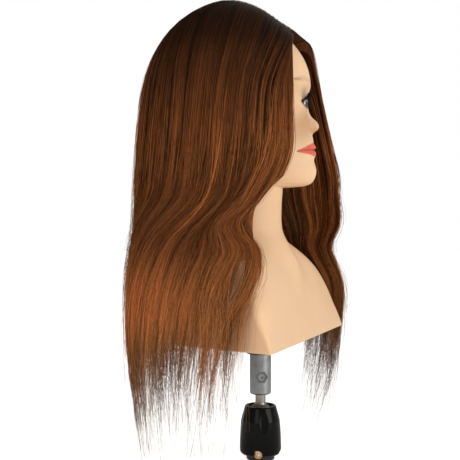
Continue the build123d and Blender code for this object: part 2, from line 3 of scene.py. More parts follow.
import bpy
import numpy as np
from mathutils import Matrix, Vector


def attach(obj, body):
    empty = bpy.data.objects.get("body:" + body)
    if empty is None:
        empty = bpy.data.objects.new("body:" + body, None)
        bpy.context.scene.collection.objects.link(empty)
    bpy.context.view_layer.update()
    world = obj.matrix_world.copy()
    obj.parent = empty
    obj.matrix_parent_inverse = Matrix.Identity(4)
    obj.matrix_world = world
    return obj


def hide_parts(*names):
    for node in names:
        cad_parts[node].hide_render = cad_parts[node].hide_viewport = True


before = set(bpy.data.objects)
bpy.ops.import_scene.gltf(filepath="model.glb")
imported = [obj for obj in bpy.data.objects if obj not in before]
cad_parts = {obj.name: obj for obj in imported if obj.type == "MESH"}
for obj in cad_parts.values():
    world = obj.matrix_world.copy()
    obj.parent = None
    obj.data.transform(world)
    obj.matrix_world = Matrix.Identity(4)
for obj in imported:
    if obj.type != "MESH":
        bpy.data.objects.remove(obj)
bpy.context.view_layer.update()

scene = bpy.context.scene
rng = np.random.default_rng(20)
MM = 0.001
TURN = 19.4
NECK_Y = 31.0


# ------------------------------------------------------------------ shape tables (mm), same as the solid model
HEAD = np.array([
    (331.5, -83.0, 33.0, 50.0, -8.0, 1.75), (334.5, -90.5, 40.0, 54.0, -4.0, 1.75), (340.0, -95.0, 46.0, 57.0, 0.0, 1.75),
    (350.0, -97.2, 51.0, 60.0, 3.0, 1.75), (362.0, -94.5, 55.0, 64.0, 5.0, 1.75), (377.0, -91.5, 59.0, 70.0, 7.0, 1.75),
    (394.0, -90.0, 65.0, 78.0, 9.0, 1.95), (412.0, -88.0, 70.5, 86.0, 10.0, 2.3), (425.0, -87.0, 73.5, 90.0, 10.0, 2.8),
    (434.0, -86.5, 75.0, 92.0, 10.0, 3.0), (443.0, -88.0, 76.0, 94.0, 10.0, 2.7), (455.0, -90.5, 76.5, 94.0, 10.0, 2.2),
    (472.0, -88.0, 75.5, 92.0, 10.0, 2.15), (488.0, -81.5, 71.5, 86.5, 9.0, 2.1), (504.0, -70.0, 65.0, 77.0, 8.0, 2.05),
    (518.0, -55.5, 56.5, 65.0, 7.0, 2.0), (530.0, -39.0, 45.5, 51.0, 6.5, 2.0), (539.0, -22.5, 32.0, 36.5, 6.5, 2.0),
    (544.5, -9.0, 18.0, 22.5, 6.5, 2.0), (546.5, -1.0, 8.0, 13.0, 6.5, 2.0)])
NOSE = np.array([
    (393.0, 0.0, 7.0), (397.0, 3.2, 8.0), (400.4, 8.4, 8.2), (403.0, 10.6, 8.0), (405.8, 11.5, 7.6), (408.4, 11.0, 7.0),
    (411.5, 9.0, 6.2), (416.0, 4.8, 5.4), (422.0, 1.9, 4.8), (430.0, 1.0, 5.0), (437.0, 0.6, 6.0), (444.0, 0.0, 7.0)])
BUST = np.array([
    (149.0, -65.0, 150.0, -64.5, 112.0, 78.0, 5.0), (165.0, -61.5, 147.5, -58.0, 112.0, 81.0, 9.0),
    (184.0, -57.5, 143.5, -49.0, 111.0, 84.5, 14.0), (205.0, -52.5, 136.5, -41.0, 108.0, 87.5, 20.0),
    (225.0, -46.5, 126.0, -33.0, 101.0, 89.0, 26.0), (240.0, -40.0, 110.0, -26.0, 89.0, 89.5, 30.0),
    (252.0, -34.0, 88.0, -20.0, 76.0, 89.0, 34.0), (262.0, -28.5, 68.0, -14.0, 66.0, 88.0, 38.0)])
NECK = np.array([
    (262.0, -58.5, 66.0, 57.5), (270.0, -56.5, 59.5, 56.5), (278.0, -55.5, 56.0, 54.5), (288.0, -55.0, 53.5, 53.0),
    (300.0, -55.0, 52.0, 52.0), (314.0, -55.5, 51.5, 51.5), (328.0, -56.5, 51.5, 52.0), (345.0, -55.0, 50.0, 52.0),
    (360.0, -50.0, 46.0, 50.0)])


def curve(table, column, z):
    zs, ps = table[:, 0], table[:, column]
    n = len(zs)
    idx = np.arange(n)
    a, b = np.maximum(idx - 1, 0), np.minimum(idx + 1, n - 1)
    m = (ps[b] - ps[a]) / (zs[b] - zs[a])
    z = np.clip(np.asarray(z, float), zs[0], zs[-1])
    k = np.clip(np.searchsorted(zs, z, side="right") - 1, 0, n - 2)
    h = zs[k + 1] - zs[k]
    t = (z - zs[k]) / h
    return ((2 * t ** 3 - 3 * t ** 2 + 1) * ps[k] + (t ** 3 - 2 * t ** 2 + t) * h * m[k]
            + (-2 * t ** 3 + 3 * t ** 2) * ps[k + 1] + (t ** 3 - t ** 2) * h * m[k + 1])


def lin(z, pairs):
    pairs = sorted(pairs)
    return np.interp(z, [p[0] for p in pairs], [p[1] for p in pairs])


def smooth(t):
    t = np.clip(t, 0.0, 1.0)
    return t * t * (3 - 2 * t)


def bell(x, s):
    return np.exp(-0.5 * (x / s) ** 2)


def turn_at(z):
    return np.radians(TURN) * smooth((np.asarray(z, float) - 262.0) / 63.0)


def place(u, v, z, turn=None):
    a = turn_at(z) if turn is None else turn
    return np.stack([u * np.cos(a) - v * np.sin(a), NECK_Y + u * np.sin(a) + v * np.cos(a), z + 0 * u], -1)


def inside_head(u, v, z):
    w, vf, vb, vc, nf = [curve(HEAD, k, z) for k in (2, 1, 3, 4, 5)]
    n = np.where(v < vc, nf, 2.0)
    ext = np.where(v < vc, vc - vf, vb - vc)
    val = (np.abs(u) / w) ** n + (np.abs(v - vc) / ext) ** n
    return (val <= 1.0) & (z > 331.5) & (z < 546.5)


def head_radius(phi, z):
    phi, z = np.broadcast_arrays(np.asarray(phi, float), np.asarray(z, float))
    lo, hi = np.zeros(phi.shape), np.full(phi.shape, 140.0)
    for _ in range(24):
        m = (lo + hi) / 2
        good = inside_head(m * np.sin(phi), -m * np.cos(phi), z)
        lo, hi = np.where(good, m, lo), np.where(good, hi, m)
    return lo


SKULL = np.array([0.0, 8.0, 440.0])


def skull_rho(d):
    """Distance from the skull's centre to its surface along unit directions d (u, v, z)."""
    lo, hi = np.zeros(d.shape[:-1]), np.full(d.shape[:-1], 160.0)
    for _ in range(24):
        m = (lo + hi) / 2
        p = SKULL + m[..., None] * d
        good = inside_head(p[..., 0], p[..., 1], p[..., 2])
        lo, hi = np.where(good, m, lo), np.where(good, hi, m)
    return lo


def neck_radius(phi, z):
    w, vf, vb = curve(NECK, 2, z), curve(NECK, 1, z), curve(NECK, 3, z)
    d = np.where(np.cos(phi) > 0, -vf, vb)
    return 1.0 / np.sqrt((np.sin(phi) / w) ** 2 + (np.cos(phi) / d) ** 2)


def bust_outline(z, off=0.0, n=9):
    yf, xc, yc, xr, yb, size = [float(curve(BUST, k, z)) for k in range(1, 7)]
    dip = min(1.0, (z - 149.0) / 30.0)
    corners = [(0.0, yf - off), (xc - size * (0.2 + 0.6 * dip), yf - off + (yc - yf) * 0.15),
               (xc + off, yc - off * (1 - dip)), (xr + off, yb + off), (0.0, yb + off)]
    radii = [0.0, size, size, max(size, 26.0), 0.0]
    pts = []
    for i, (p, r) in enumerate(zip(corners, radii)):
        if r <= 0:
            pts.append(p)
            continue
        a, b = corners[i - 1], corners[i + 1]
        da, db = (a[0] - p[0], a[1] - p[1]), (b[0] - p[0], b[1] - p[1])
        la, lb = math.hypot(*da), math.hypot(*db)
        cut = min(r, la * 0.48, lb * 0.48)
        s = (p[0] + da[0] / la * cut, p[1] + da[1] / la * cut)
        e = (p[0] + db[0] / lb * cut, p[1] + db[1] / lb * cut)
        for k in range(n):
            t = k / (n - 1)
            pts.append(((1 - t) ** 2 * s[0] + 2 * t * (1 - t) * p[0] + t * t * e[0],
                        (1 - t) ** 2 * s[1] + 2 * t * (1 - t) * p[1] + t * t * e[1]))
    pts = np.array(pts)
    return np.vstack([pts, pts[-2:0:-1] * [-1, 1]])


NR = 440
_s = np.linspace(-1, 1, NR, endpoint=False) + 1.0 / NR
_s = (np.arange(NR) / NR) * 2.0                       # 0..2, front at 0
_f = np.where(_s <= 1, _s, _s - 2)
FRACTION = np.sign(_f) * 0.5 * (0.55 * np.abs(_f) + 0.45 * np.abs(_f) ** 2)
FRACTION = np.where(FRACTION < 0, 1 + FRACTION, FRACTION)


def resample(poly):
    loop = np.vstack([poly, poly[:1]])
    run = np.concatenate([[0], np.cumsum(np.hypot(*(np.diff(loop, axis=0).T)))])
    t = FRACTION * run[-1]
    return np.stack([np.interp(t, run, loop[:, 0]), np.interp(t, run, loop[:, 1])], -1)


def mouth_seam(au):
    return 376.4 - 0.9 * bell(au - 8.0, 4.0) - 4.2 * np.clip(au / 29.0, 0, 1) ** 2.1


def eye_lines(x, xx):
    return 428.6 + 6.0 * xx ** 0.75 + 0.4 * x, 427.6 - 3.6 * xx + 0.2 * x


def features(u, z):
    d = np.zeros_like(u)
    nose = np.where((z > 393.0) & (z < 444.0), curve(NOSE, 1, z), 0.0)
    d += nose * bell(u, curve(NOSE, 2, z))
    au = np.abs(u)
    d += 3.2 * bell(au - 8.6, 3.2) * bell(z - 401.5, 3.6)                 # wings
    d -= 2.2 * bell(au - 5.2, 1.9) * bell(z - 397.6, 1.6)                 # nostrils
    d -= 1.2 * bell(au - 13.0, 2.0) * bell(z - 401.0, 4.2)                # wing creases
    d += 3.6 * bell(u, 15.0) * bell(z - 383.0, 12.0)
    d -= 0.8 * bell(u, 2.2) * bell(z - 391.0, 4.5)                        # philtrum
    d += 0.5 * bell(au - 4.4, 1.6) * bell(z - 390.0, 4.5)
    # lips
    seam = mouth_seam(au)
    up = seam + 5.0 - 3.6 * np.clip(au / 30.0, 0, 1) ** 1.3 + 1.2 * bell(au - 5.5, 4.0) - 0.9 * bell(u, 2.0)
    low = seam - 5.2 + 3.4 * np.clip(au / 30.0, 0, 1) ** 2
    fade = smooth((30.5 - au) / 13.0)
    d += 2.6 * fade * bell(z - (up + seam) / 2 - 0.4, 2.3)
    d += 2.7 * fade * bell(z - low, 2.9) * smooth((27 - au) / 13)
    d -= 2.0 * fade * bell(z - seam, 0.75)
    d -= 1.2 * bell(au - 30.0, 2.4) * bell(z - 371.2, 2.4)                # mouth corners
    d -= 0.5 * bell(u, 12.0) * bell(z - 362.0, 3.0)                       # fold under the lip
    d += 0.5 * bell(u, 12.0) * bell(z - 352.0, 8.0)                       # chin
    # eyes
    x = (au - 31.0) / 15.0
    xx = np.clip(1 - x * x, 0, 1)
    zu, zl = eye_lines(x, xx)
    d -= 3.0 * bell(au - 29.0, 12.0) * bell(z - 442.5, 4.6)
    d += 2.6 * bell(au - 31.0, 9.5) * bell(z - 429.5, 5.4)
    d -= 1.4 * bell(au - 26.0, 14.0) * bell(z - 431.0, 9.0)
    d -= 1.3 * bell(au - 30.0, 12.0) * bell(z - 419.5, 3.6)
    lid = smooth((1.05 - np.abs(x)) / 0.15)
    d += 1.5 * lid * bell(z - zu - 1.3, 1.15)
    d += 0.8 * lid * bell(z - zl + 1.1, 1.0)
    d -= 0.8 * lid * bell(z - zu - 4.4, 0.8)                              # lid crease
    d -= 1.4 * bell(au - 14.5, 3.6) * bell(z - 429.5, 6.0)                # inner corner
    d += 1.1 * bell(au - 28.0, 13.0) * bell(z - 455.0, 4.0)               # brow bone
    d += 1.8 * bell(au - 38.0, 13.0) * bell(z - 407.0, 12.0)              # cheek
    return d


def face_tint(u, v, z):
    """Painted colour (linear rgb) and how strongly it covers, from position on the face."""
    n = len(u)
    col = np.zeros((n, 3))
    amt = np.zeros(n)
    wet = np.zeros(n)
    au = np.abs(u)
    front = v < -30

    def paint(c, k, gloss=0.0):
        nonlocal col, amt, wet
        k = np.clip(k, 0, 1) * front
        col = col * (1 - k[:, None]) + np.array(c) * k[:, None]
        amt = amt * (1 - k) + k
        wet = wet * (1 - k) + gloss * k

    # painted shade beside the nose, in the nostrils, the wing creases and the eye sockets, with a pink blush lower on
    # the cheek
    paint((0.78, 0.37, 0.12), 0.62 * bell(au - 26.0, 12.0) * bell(z - 407.0, 11.0))
    paint((0.76, 0.33, 0.20), 0.22 * bell(au - 34.0, 13.0) * bell(z - 396.0, 13.0))
    paint((0.60, 0.26, 0.09), 0.70 * bell(au - 5.3, 2.0) * bell(z - 398.0, 1.5))
    paint((0.80, 0.40, 0.12), 0.75 * bell(au - 11.5, 2.4) * bell(z - 400.0, 2.2))
    paint((0.62, 0.28, 0.13), 0.25 * bell(au - 30.0, 14.0) * bell(z - 441.0, 5.0))
    # lips
    seam = mouth_seam(au)
    up = seam + 7.6 + 1.3 * bell(au - 5.5, 3.2) - 1.0 * bell(u, 1.8) - 7.6 * np.clip((au - 6.0) / 24.5, 0, 1) ** 1.8
    low = seam - 7.8 + 7.8 * np.clip(au / 30.5, 0, 1) ** 2.2
    k = smooth((up - z) / 0.9 + 0.5) * smooth((z - low) / 0.9 + 0.5) * (au < 29.5)
    # painted shade darkens the lip colour along the seam between the lips
    shade = 1.0 - 0.35 * bell(z - seam, 0.9)
    paint((0.80, 0.150, 0.092), k, 0.45)
    col[:] = np.where((k > 0.5)[:, None], col * shade[:, None], col)
    # eyes
    x = (au - 31.0) / 15.0
    xx = np.clip(1 - x * x, 0, 1)
    zu, zl = eye_lines(x, xx)
    eye = (smooth((zu - z) / 0.8 + 0.5) * smooth((z - zl) / 0.8 + 0.5)) * (np.abs(x) < 1)
    paint((0.80, 0.74, 0.68), eye, 0.35)
    r = np.hypot(au - 31.4, z - 429.4)
    iris = eye * smooth((7.6 - r) / 0.8 + 0.5)
    paint((0.036, 0.014, 0.007), iris, 0.10)
    paint((0.004, 0.003, 0.003), eye * smooth((3.4 - r) / 0.6 + 0.5), 0.10)
    paint((0.015, 0.006, 0.004), eye * smooth((7.8 - r) / 0.5 + 0.5) * smooth((r - 6.6) / 0.5 + 0.5), 0.1)
    # painted shade under the upper lid
    paint((0.02, 0.010, 0.008), 0.85 * eye * bell(z - zu, 2.4), 0.1)
    # painted shade in the outer corner of the eye
    paint((0.02, 0.010, 0.008), 0.90 * eye * smooth((au - 41.6) / 1.5), 0.1)
    # painted highlight on the iris
    glint = eye * smooth((1.2 - np.hypot(au - 34.2, z - 431.2)) / 0.5 + 0.5)
    paint((0.95, 0.93, 0.9), glint, 1.0)
    # lash lines
    line = bell(z - zu - 0.4, 1.25) * (np.abs(x) < 1.08)
    paint((0.006, 0.004, 0.004), 1.4 * line, 0.3)
    wing = bell(z - (429.2 + (au - 45.0) * 0.30), 0.9) * smooth((au - 42) / 3) * smooth((50 - au) / 4)
    paint((0.008, 0.005, 0.005), 1.1 * wing, 0.2)
    low_line = bell(z - zl + 0.3, 0.7) * (np.abs(x) < 0.98)
    paint((0.02, 0.010, 0.008), 1.0 * low_line, 0.1)
    # brows, as fine strokes
    bz = 454.8 + 2.8 * np.sin(np.clip((au - 11.0) / 40.0, 0, 1) * 2.6) - 1.6 * smooth((au - 34) / 16)
    width = 2.5 * smooth((au - 8.5) / 5.0) * (1 - 0.6 * smooth((au - 34) / 18)) + 0.02
    stroke = 0.55 + 0.45 * np.sin(au * 3.1 + (z - bz) * 1.4) * np.sin(au * 1.7 + 1.3)
    ends = 0.34 + 0.66 * (bell(au - 14, 5.0) + bell(au - 49, 4.5))
    brow = bell(z - bz, width) * smooth((au - 8.0) / 3.0) * smooth((54.0 - au) / 3.0) * np.clip(stroke, 0, 1) * ends
    paint((0.36, 0.105, 0.045), 0.95 * brow)
    return col, amt, wet


# ------------------------------------------------------------------ mesh helpers
def make_mesh(name, verts_mm, quads=None, tris=None, smooth_shade=True):
    me = bpy.data.meshes.new(name)
    v = np.asarray(verts_mm, np.float64).reshape(-1, 3) * MM
    parts, starts, totals = [], [], []
    cursor = 0
    for f, n in ((quads, 4), (tris, 3)):
        if f is None or len(f) == 0:
            continue
        f = np.asarray(f, np.int32).reshape(-1, n)
        parts.append(f.ravel())
        starts.append(cursor + np.arange(len(f), dtype=np.int32) * n)
        totals.append(np.full(len(f), n, np.int32))
        cursor += f.size
    loops, starts, totals = np.concatenate(parts), np.concatenate(starts), np.concatenate(totals)
    me.vertices.add(len(v))
    me.vertices.foreach_set("co", v.astype(np.float32).ravel())
    me.loops.add(len(loops))
    me.loops.foreach_set("vertex_index", loops)
    me.polygons.add(len(starts))
    me.polygons.foreach_set("loop_start", starts)
    me.polygons.foreach_set("loop_total", totals)
    if smooth_shade:
        me.polygons.foreach_set("use_smooth", np.ones(len(starts), bool))
    me.update(calc_edges=True)
    me.validate()
    o = bpy.data.objects.new(name, me)
    scene.collection.objects.link(o)
    return o


def set_uv(o, uv_of_vertex, name="OFBake"):
    me = o.data
    layer = me.uv_layers.new(name=name)
    idx = np.empty(len(me.loops), np.int32)
    me.loops.foreach_get("vertex_index", idx)
    layer.data.foreach_set("uv", np.asarray(uv_of_vertex, np.float32)[idx].ravel())


def set_attr(o, name, values, kind="FLOAT"):
    a = o.data.attributes.new(name, kind, "POINT")
    if kind == "FLOAT_COLOR":
        a.data.foreach_set("color", np.asarray(values, np.float32).ravel())
    else:
        a.data.foreach_set("value", np.asarray(values, np.float32).ravel())


def grid_quads(rows, cols, wrap=False, base=0):
    c = np.arange(cols if wrap else cols - 1)
    r = np.arange(rows - 1)[:, None]
    a = r * cols + c
    b = r * cols + (c + 1) % cols
    return (np.stack([a, b, b + cols, a + cols], -1) + base).reshape(-1, 4)


# ------------------------------------------------------------------ materials
class Nodes:
    def __init__(self, name):
        self.m = bpy.data.materials.new(name)
        self.m.use_nodes = True
        self.t = self.m.node_tree
        self.b = self.t.nodes["Principled BSDF"]

    def add(self, kind, **kw):
        n = self.t.nodes.new(kind)
        for k, v in kw.items():
            if k.startswith("_"):
                n.inputs[int(k[1:])].default_value = v
            else:
                setattr(n, k, v)
        return n

    def link(self, a, b):
        self.t.links.new(a, b)

    def noise(self, scale, detail=3.0, vec=None, rough=0.55):
        n = self.add("ShaderNodeTexNoise")
        n.inputs["Scale"].default_value = scale
        n.inputs["Detail"].default_value = detail
        n.inputs["Roughness"].default_value = rough
        if vec is not None:
            self.link(vec, n.inputs["Vector"])
        return n

    def ramp(self, fac, stops):
        r = self.add("ShaderNodeValToRGB")
        e = r.color_ramp.elements
        while len(e) < len(stops):
            e.new(0.5)
        for el, (p, c) in zip(e, stops):
            el.position = p
            el.color = (*c, 1.0)
        self.link(fac, r.inputs["Fac"])
        return r

    def mix(self, fac, a, b, mode="MIX"):
        n = self.add("ShaderNodeMix", data_type="RGBA", blend_type=mode)
        for i, x in ((0, fac), (6, a), (7, b)):
            if isinstance(x, (int, float)):
                n.inputs[i].default_value = x
            elif isinstance(x, tuple):
                n.inputs[i].default_value = (*x, 1.0)
            else:
                self.link(x, n.inputs[i])
        return n.outputs[2]

    def math(self, op, a, b=0.0, c=None):
        n = self.add("ShaderNodeMath", operation=op)
        for i, x in enumerate((a, b) if c is None else (a, b, c)):
            if isinstance(x, (int, float)):
                n.inputs[i].default_value = x
            else:
                self.link(x, n.inputs[i])
        return n.outputs[0]

    def bump(self, height, strength, distance=0.0005):
        n = self.add("ShaderNodeBump")
        n.inputs["Strength"].default_value = strength
        n.inputs["Distance"].default_value = distance
        self.link(height, n.inputs["Height"])
        self.link(n.outputs["Normal"], self.b.inputs["Normal"])


def coords(n):
    return n.add("ShaderNodeTexCoord").outputs["Object"]


def skin_material():
    n = Nodes("moulded_skin")
    c = coords(n)
    big = n.noise(14.0, 2.0, c)
    fine = n.noise(900.0, 2.0, c)
    base = n.ramp(big.outputs["Fac"], [(0.3, (0.885, 0.585, 0.350)), (0.7, (0.92, 0.625, 0.385))])
    tint = n.add("ShaderNodeAttribute", attribute_name="tint")
    amount = n.add("ShaderNodeAttribute", attribute_name="tint_amount")
    wet = n.add("ShaderNodeAttribute", attribute_name="tint_wet")
    col = n.mix(amount.outputs["Fac"], base.outputs["Color"], tint.outputs["Color"])
    n.link(col, n.b.inputs["Base Color"])
    r = n.add("ShaderNodeMapRange")
    n.link(wet.outputs["Fac"], r.inputs["Value"])
    r.inputs["To Min"].default_value = 0.46
    r.inputs["To Max"].default_value = 0.10
    n.link(r.outputs["Result"], n.b.inputs["Roughness"])
    n.b.inputs["Subsurface Weight"].default_value = 0.12
    n.b.inputs["Subsurface Radius"].default_value = (0.004, 0.002, 0.001)
    n.b.inputs["Subsurface Scale"].default_value = 1.0
    n.b.inputs["Specular IOR Level"].default_value = 0.25
    n.bump(fine.outputs["Fac"], 0.12, 0.0002)
    return n.m


def hair_material(name, dark=1.0, streak=False):
    """Colour runs along the length (uv y), with a painted lighter band where light comes through the lengths over the
    shoulder, and from strand to strand (uv x).
    """
    n = Nodes(name)
    uv = n.add("ShaderNodeUVMap", uv_map="OFBake")
    sep = n.add("ShaderNodeSeparateXYZ")
    n.link(uv.outputs["UV"], sep.inputs["Vector"])
    # along the length: darkest at the roots, a painted lighter band (0.62 to 0.70) where light comes through the
    # lengths over the shoulder, paler towards the tips
    along = n.ramp(sep.outputs["Y"], [
        (0.0, (0.014, 0.0046, 0.0019)), (0.10, (0.037, 0.0116, 0.0040)), (0.18, (0.096, 0.0305, 0.0098)),
        (0.26, (0.180, 0.0590, 0.0185)), (0.32, (0.225, 0.0770, 0.0245)), (0.42, (0.218, 0.0755, 0.0240)),
        (0.52, (0.218, 0.0760, 0.0240)), (0.62, (0.310, 0.118, 0.0400)), (0.70, (0.340, 0.138, 0.0475)),
        (0.78, (0.290, 0.127, 0.0500)), (0.86, (0.205, 0.108, 0.0540)), (1.0, (0.165, 0.108, 0.0700))])
    if streak:
        mapping = n.add("ShaderNodeCombineXYZ")
        n.link(n.math("MULTIPLY", sep.outputs["X"], 420.0), mapping.inputs["X"])
        n.link(n.math("MULTIPLY", sep.outputs["Y"], 5.0), mapping.inputs["Y"])
        tone = n.noise(1.0, 4.0, mapping.outputs["Vector"], 0.7).outputs["Fac"]
        mapping2 = n.add("ShaderNodeCombineXYZ")
        n.link(n.math("MULTIPLY", sep.outputs["X"], 46.0), mapping2.inputs["X"])
        n.link(n.math("MULTIPLY", sep.outputs["Y"], 2.0), mapping2.inputs["Y"])
        wide = n.noise(1.0, 2.0, mapping2.outputs["Vector"], 0.5).outputs["Fac"]
        tone = n.math("ADD", n.math("MULTIPLY", tone, 0.65), n.math("MULTIPLY", wide, 0.35))
        gain = n.ramp(tone, [(0.34, (0.14, 0.12, 0.11)), (0.5, (0.72, 0.70, 0.67)), (0.66, (2.2, 2.1, 1.9))])
        n.bump(tone, 0.8, 0.0012)
    else:
        w = n.noise(900.0, 1.0, uv.outputs["UV"])
        tone = n.math("ADD", n.math("MULTIPLY", sep.outputs["X"], 0.85), n.math("MULTIPLY", w.outputs["Fac"], 0.15))
        gain = n.ramp(tone, [
            (0.20, (0.10, 0.09, 0.085)), (0.40, (0.35, 0.335, 0.32)), (0.50, (0.73, 0.71, 0.68)),
            (0.62, (1.42, 1.39, 1.30)), (0.86, (3.1, 3.0, 2.85))])
    col = n.mix(1.0, along.outputs["Color"], gain.outputs["Color"], "MULTIPLY")
    if dark != 1.0:
        col = n.mix(1.0, col, (dark, dark, dark), "MULTIPLY")
    n.link(col, n.b.inputs["Base Color"])
    n.b.inputs["Roughness"].default_value = 0.38
    n.b.inputs["Specular IOR Level"].default_value = 0.16
    n.b.inputs["Specular Tint"].default_value = (1.0, 0.72, 0.45, 1.0)
    return n.m


def metal_material(name, base, rough, spread=0.06, brushed=0.3, warm=None):
    n = Nodes(name)
    c = coords(n)
    a = n.noise(60.0, 4.0, c)
    grain = n.add("ShaderNodeMapping")
    grain.inputs["Scale"].default_value = (1200.0, 1200.0, 60.0)
    n.link(c, grain.inputs["Vector"])
    g = n.noise(1.0, 3.0, grain.outputs["Vector"])
    dark = tuple(x * (1 - spread * 3) for x in base)
    lite = tuple(min(1, x * (1 + spread * 3)) for x in base)
    col = n.ramp(a.outputs["Fac"], [(0.3, dark), (0.7, lite)])
    n.link(col.outputs["Color"], n.b.inputs["Base Color"])
    n.b.inputs["Metallic"].default_value = 1.0
    rr = n.add("ShaderNodeMapRange")
    n.link(g.outputs["Fac"], rr.inputs["Value"])
    rr.inputs["To Min"].default_value = rough - 0.06
    rr.inputs["To Max"].default_value = rough + 0.10
    n.link(rr.outputs["Result"], n.b.inputs["Roughness"])
    n.bump(g.outputs["Fac"], brushed, 0.00005)
    return n.m


def plastic_material(name, base, rough, bump=0.05, coat=0.0, scale=500.0):
    n = Nodes(name)
    c = coords(n)
    a = n.noise(40.0, 3.0, c)
    f = n.noise(scale, 2.0, c)
    col = n.ramp(a.outputs["Fac"], [(0.3, tuple(x * 0.8 for x in base)), (0.7, tuple(min(1, x * 1.25) for x in base))])
    n.link(col.outputs["Color"], n.b.inputs["Base Color"])
    rr = n.add("ShaderNodeMapRange")
    n.link(a.outputs["Fac"], rr.inputs["Value"])
    rr.inputs["To Min"].default_value = max(0.02, rough - 0.05)
    rr.inputs["To Max"].default_value = rough + 0.06
    n.link(rr.outputs["Result"], n.b.inputs["Roughness"])
    n.b.inputs["Coat Weight"].default_value = coat
    n.bump(f.outputs["Fac"], bump, 0.0001)
    return n.m


def wood_material():
    n = Nodes("base_board")
    c = coords(n)
    m = n.add("ShaderNodeMapping")
    m.inputs["Scale"].default_value = (18.0, 260.0, 260.0)
    n.link(c, m.inputs["Vector"])
    g = n.noise(1.0, 5.0, m.outputs["Vector"], 0.6)
    col = n.ramp(g.outputs["Fac"], [(0.3, (0.20, 0.105, 0.05)), (0.55, (0.36, 0.21, 0.11)), (0.75, (0.46, 0.29, 0.16))])
    n.link(col.outputs["Color"], n.b.inputs["Base Color"])
    n.b.inputs["Roughness"].default_value = 0.7
    n.bump(g.outputs["Fac"], 0.3, 0.0003)
    return n.m


MAT_SKIN = skin_material()
MAT_HAIR = hair_material("hair_strands")
MAT_SHEET = hair_material("hair_mass", 0.85, True)
MAT_LASH = plastic_material("lash_fibre", (0.008, 0.006, 0.005), 0.4, 0.1)
MAT_LASH.node_tree.nodes["Principled BSDF"].inputs["Specular IOR Level"].default_value = 0.08
MAT_SCALP = plastic_material("scalp_knots", (0.05, 0.022, 0.01), 0.7, 0.6, 0.0, 900.0)
MAT_COLLAR = plastic_material("collar_gloss", (0.0022, 0.0025, 0.0024), 0.16, 0.02, 0.0)
MAT_COLLAR.node_tree.nodes["Principled BSDF"].inputs["Specular IOR Level"].default_value = 0.14
MAT_BLACK = plastic_material("black_moulding", (0.012, 0.012, 0.012), 0.38, 0.1)
MAT_NYLON = plastic_material("seat_nylon", (0.62, 0.60, 0.54), 0.45, 0.05)
MAT_FOAM = plastic_material("rigid_foam", (0.78, 0.70, 0.55), 0.85, 0.5, 0.0, 300.0)
MAT_SLEEVE = metal_material("post_steel", (0.30, 0.315, 0.325), 0.34, 0.06, 0.35)
MAT_STUD = metal_material("ball_steel", (0.36, 0.335, 0.30), 0.36, 0.07, 0.35)
MAT_DARK = metal_material("screw_steel", (0.16, 0.165, 0.17), 0.32, 0.08, 0.3)
MAT_BRIGHT = metal_material("zinc_plated", (0.72, 0.70, 0.66), 0.22, 0.05, 0.15)
MAT_BRASS = metal_material("brass_insert", (0.80, 0.50, 0.17), 0.28, 0.05, 0.2)
MAT_WOOD = wood_material()


# ------------------------------------------------------------------ skin: bust, neck and head in one moulding
def skin_rings():
    rings = []
    for off, z in ((-3.0, 157.5), (-3.0, 150.2), (-2.6, 149.4), (-1.9, 149.05), (-1.1, 149.15), (-0.4, 149.7), (-0.1, 150.6), (0.0, 152.0)):
        p = resample(bust_outline(max(z, 149.0), off))
        rings.append(np.column_stack([p, np.full(NR, z)]))
    for z in np.arange(154.0, 262.1, 2.0):
        p = resample(bust_outline(z))
        rings.append(np.column_stack([p, np.full(NR, z)]))
    phi = np.linspace(0, 2 * np.pi, 720, endpoint=False)
    for z in np.arange(264.0, 330.6, 2.0):
        r = neck_radius(phi, z)
        mixb = float(1 - smooth((z - 262.0) / 10.0))
        p = resample(np.column_stack([r * np.sin(phi), -r * np.cos(phi)]))
        q = place(p[:, 0], p[:, 1], np.full(NR, z))
        if mixb > 0:
            b = resample(bust_outline(262.0))
            q[:, :2] = q[:, :2] * (1 - mixb) + b * mixb
        rings.append(q)
    # under the jaw: from the neck out to the jaw line
    neck_top = resample(np.column_stack([neck_radius(phi, 330.0) * np.sin(phi), -neck_radius(phi, 330.0) * np.cos(phi)]))
    jaw_r = np.maximum(head_radius(phi, 332.0), neck_radius(phi, 332.0))
    jaw = resample(np.column_stack([jaw_r * np.sin(phi), -jaw_r * np.cos(phi)]))
    for t in np.linspace(0.08, 0.94, 12):
        p = neck_top * (1 - t) + jaw * t
        z = 330.6 + 1.2 * t ** 3
        rings.append(place(p[:, 0], p[:, 1], np.full(NR, z), np.radians(TURN)))
    levels = np.concatenate([np.arange(332.0, 345.0, 0.8), np.arange(345.0, 466.0, 0.62), np.arange(466.0, 546.0, 1.7), [546.4]])
    for z in levels:
        h = head_radius(phi, z)
        if z < 360:
            nk = neck_radius(phi, z)
            h = np.where(h > nk, h + 1.0 * np.exp(-(h - nk) / 1.0) * 0.7, nk + 1.0 * np.exp(-(nk - h) / 1.0) * 0.7)
        p = resample(np.column_stack([h * np.sin(phi), -h * np.cos(phi)]))
        u, v = p[:, 0], p[:, 1]
        mask = smooth((-2.0 - v) / 30.0)
        v = v - features(u, np.full(NR, z)) * mask
        rings.append(place(u, v, np.full(NR, z), np.radians(TURN)))
    R = np.array(rings)
    zrow = R[:, 0, 2]
    X, Y = R[..., 0], R[..., 1]
    w = smooth((zrow - 196.0) / 30.0) * smooth((296.0 - zrow) / 30.0)
    for _ in range(26):
        M = R.copy()
        M[1:-1, :, :2] = 0.25 * R[:-2, :, :2] + 0.5 * R[1:-1, :, :2] + 0.25 * R[2:, :, :2]
        R += (M - R) * w[:, None, None]
    front = smooth((8.0 - R[..., 1]) / 20.0)
    zz = R[..., 2]
    R[..., 1] += front * (2.7 * bell(np.abs(R[..., 0]) - 40.0, 13.0) * bell(zz - 247.0, 16.0) - 6.5 * bell(R[..., 0], 15.0) * bell(zz - 246.0, 17.0))
    return R


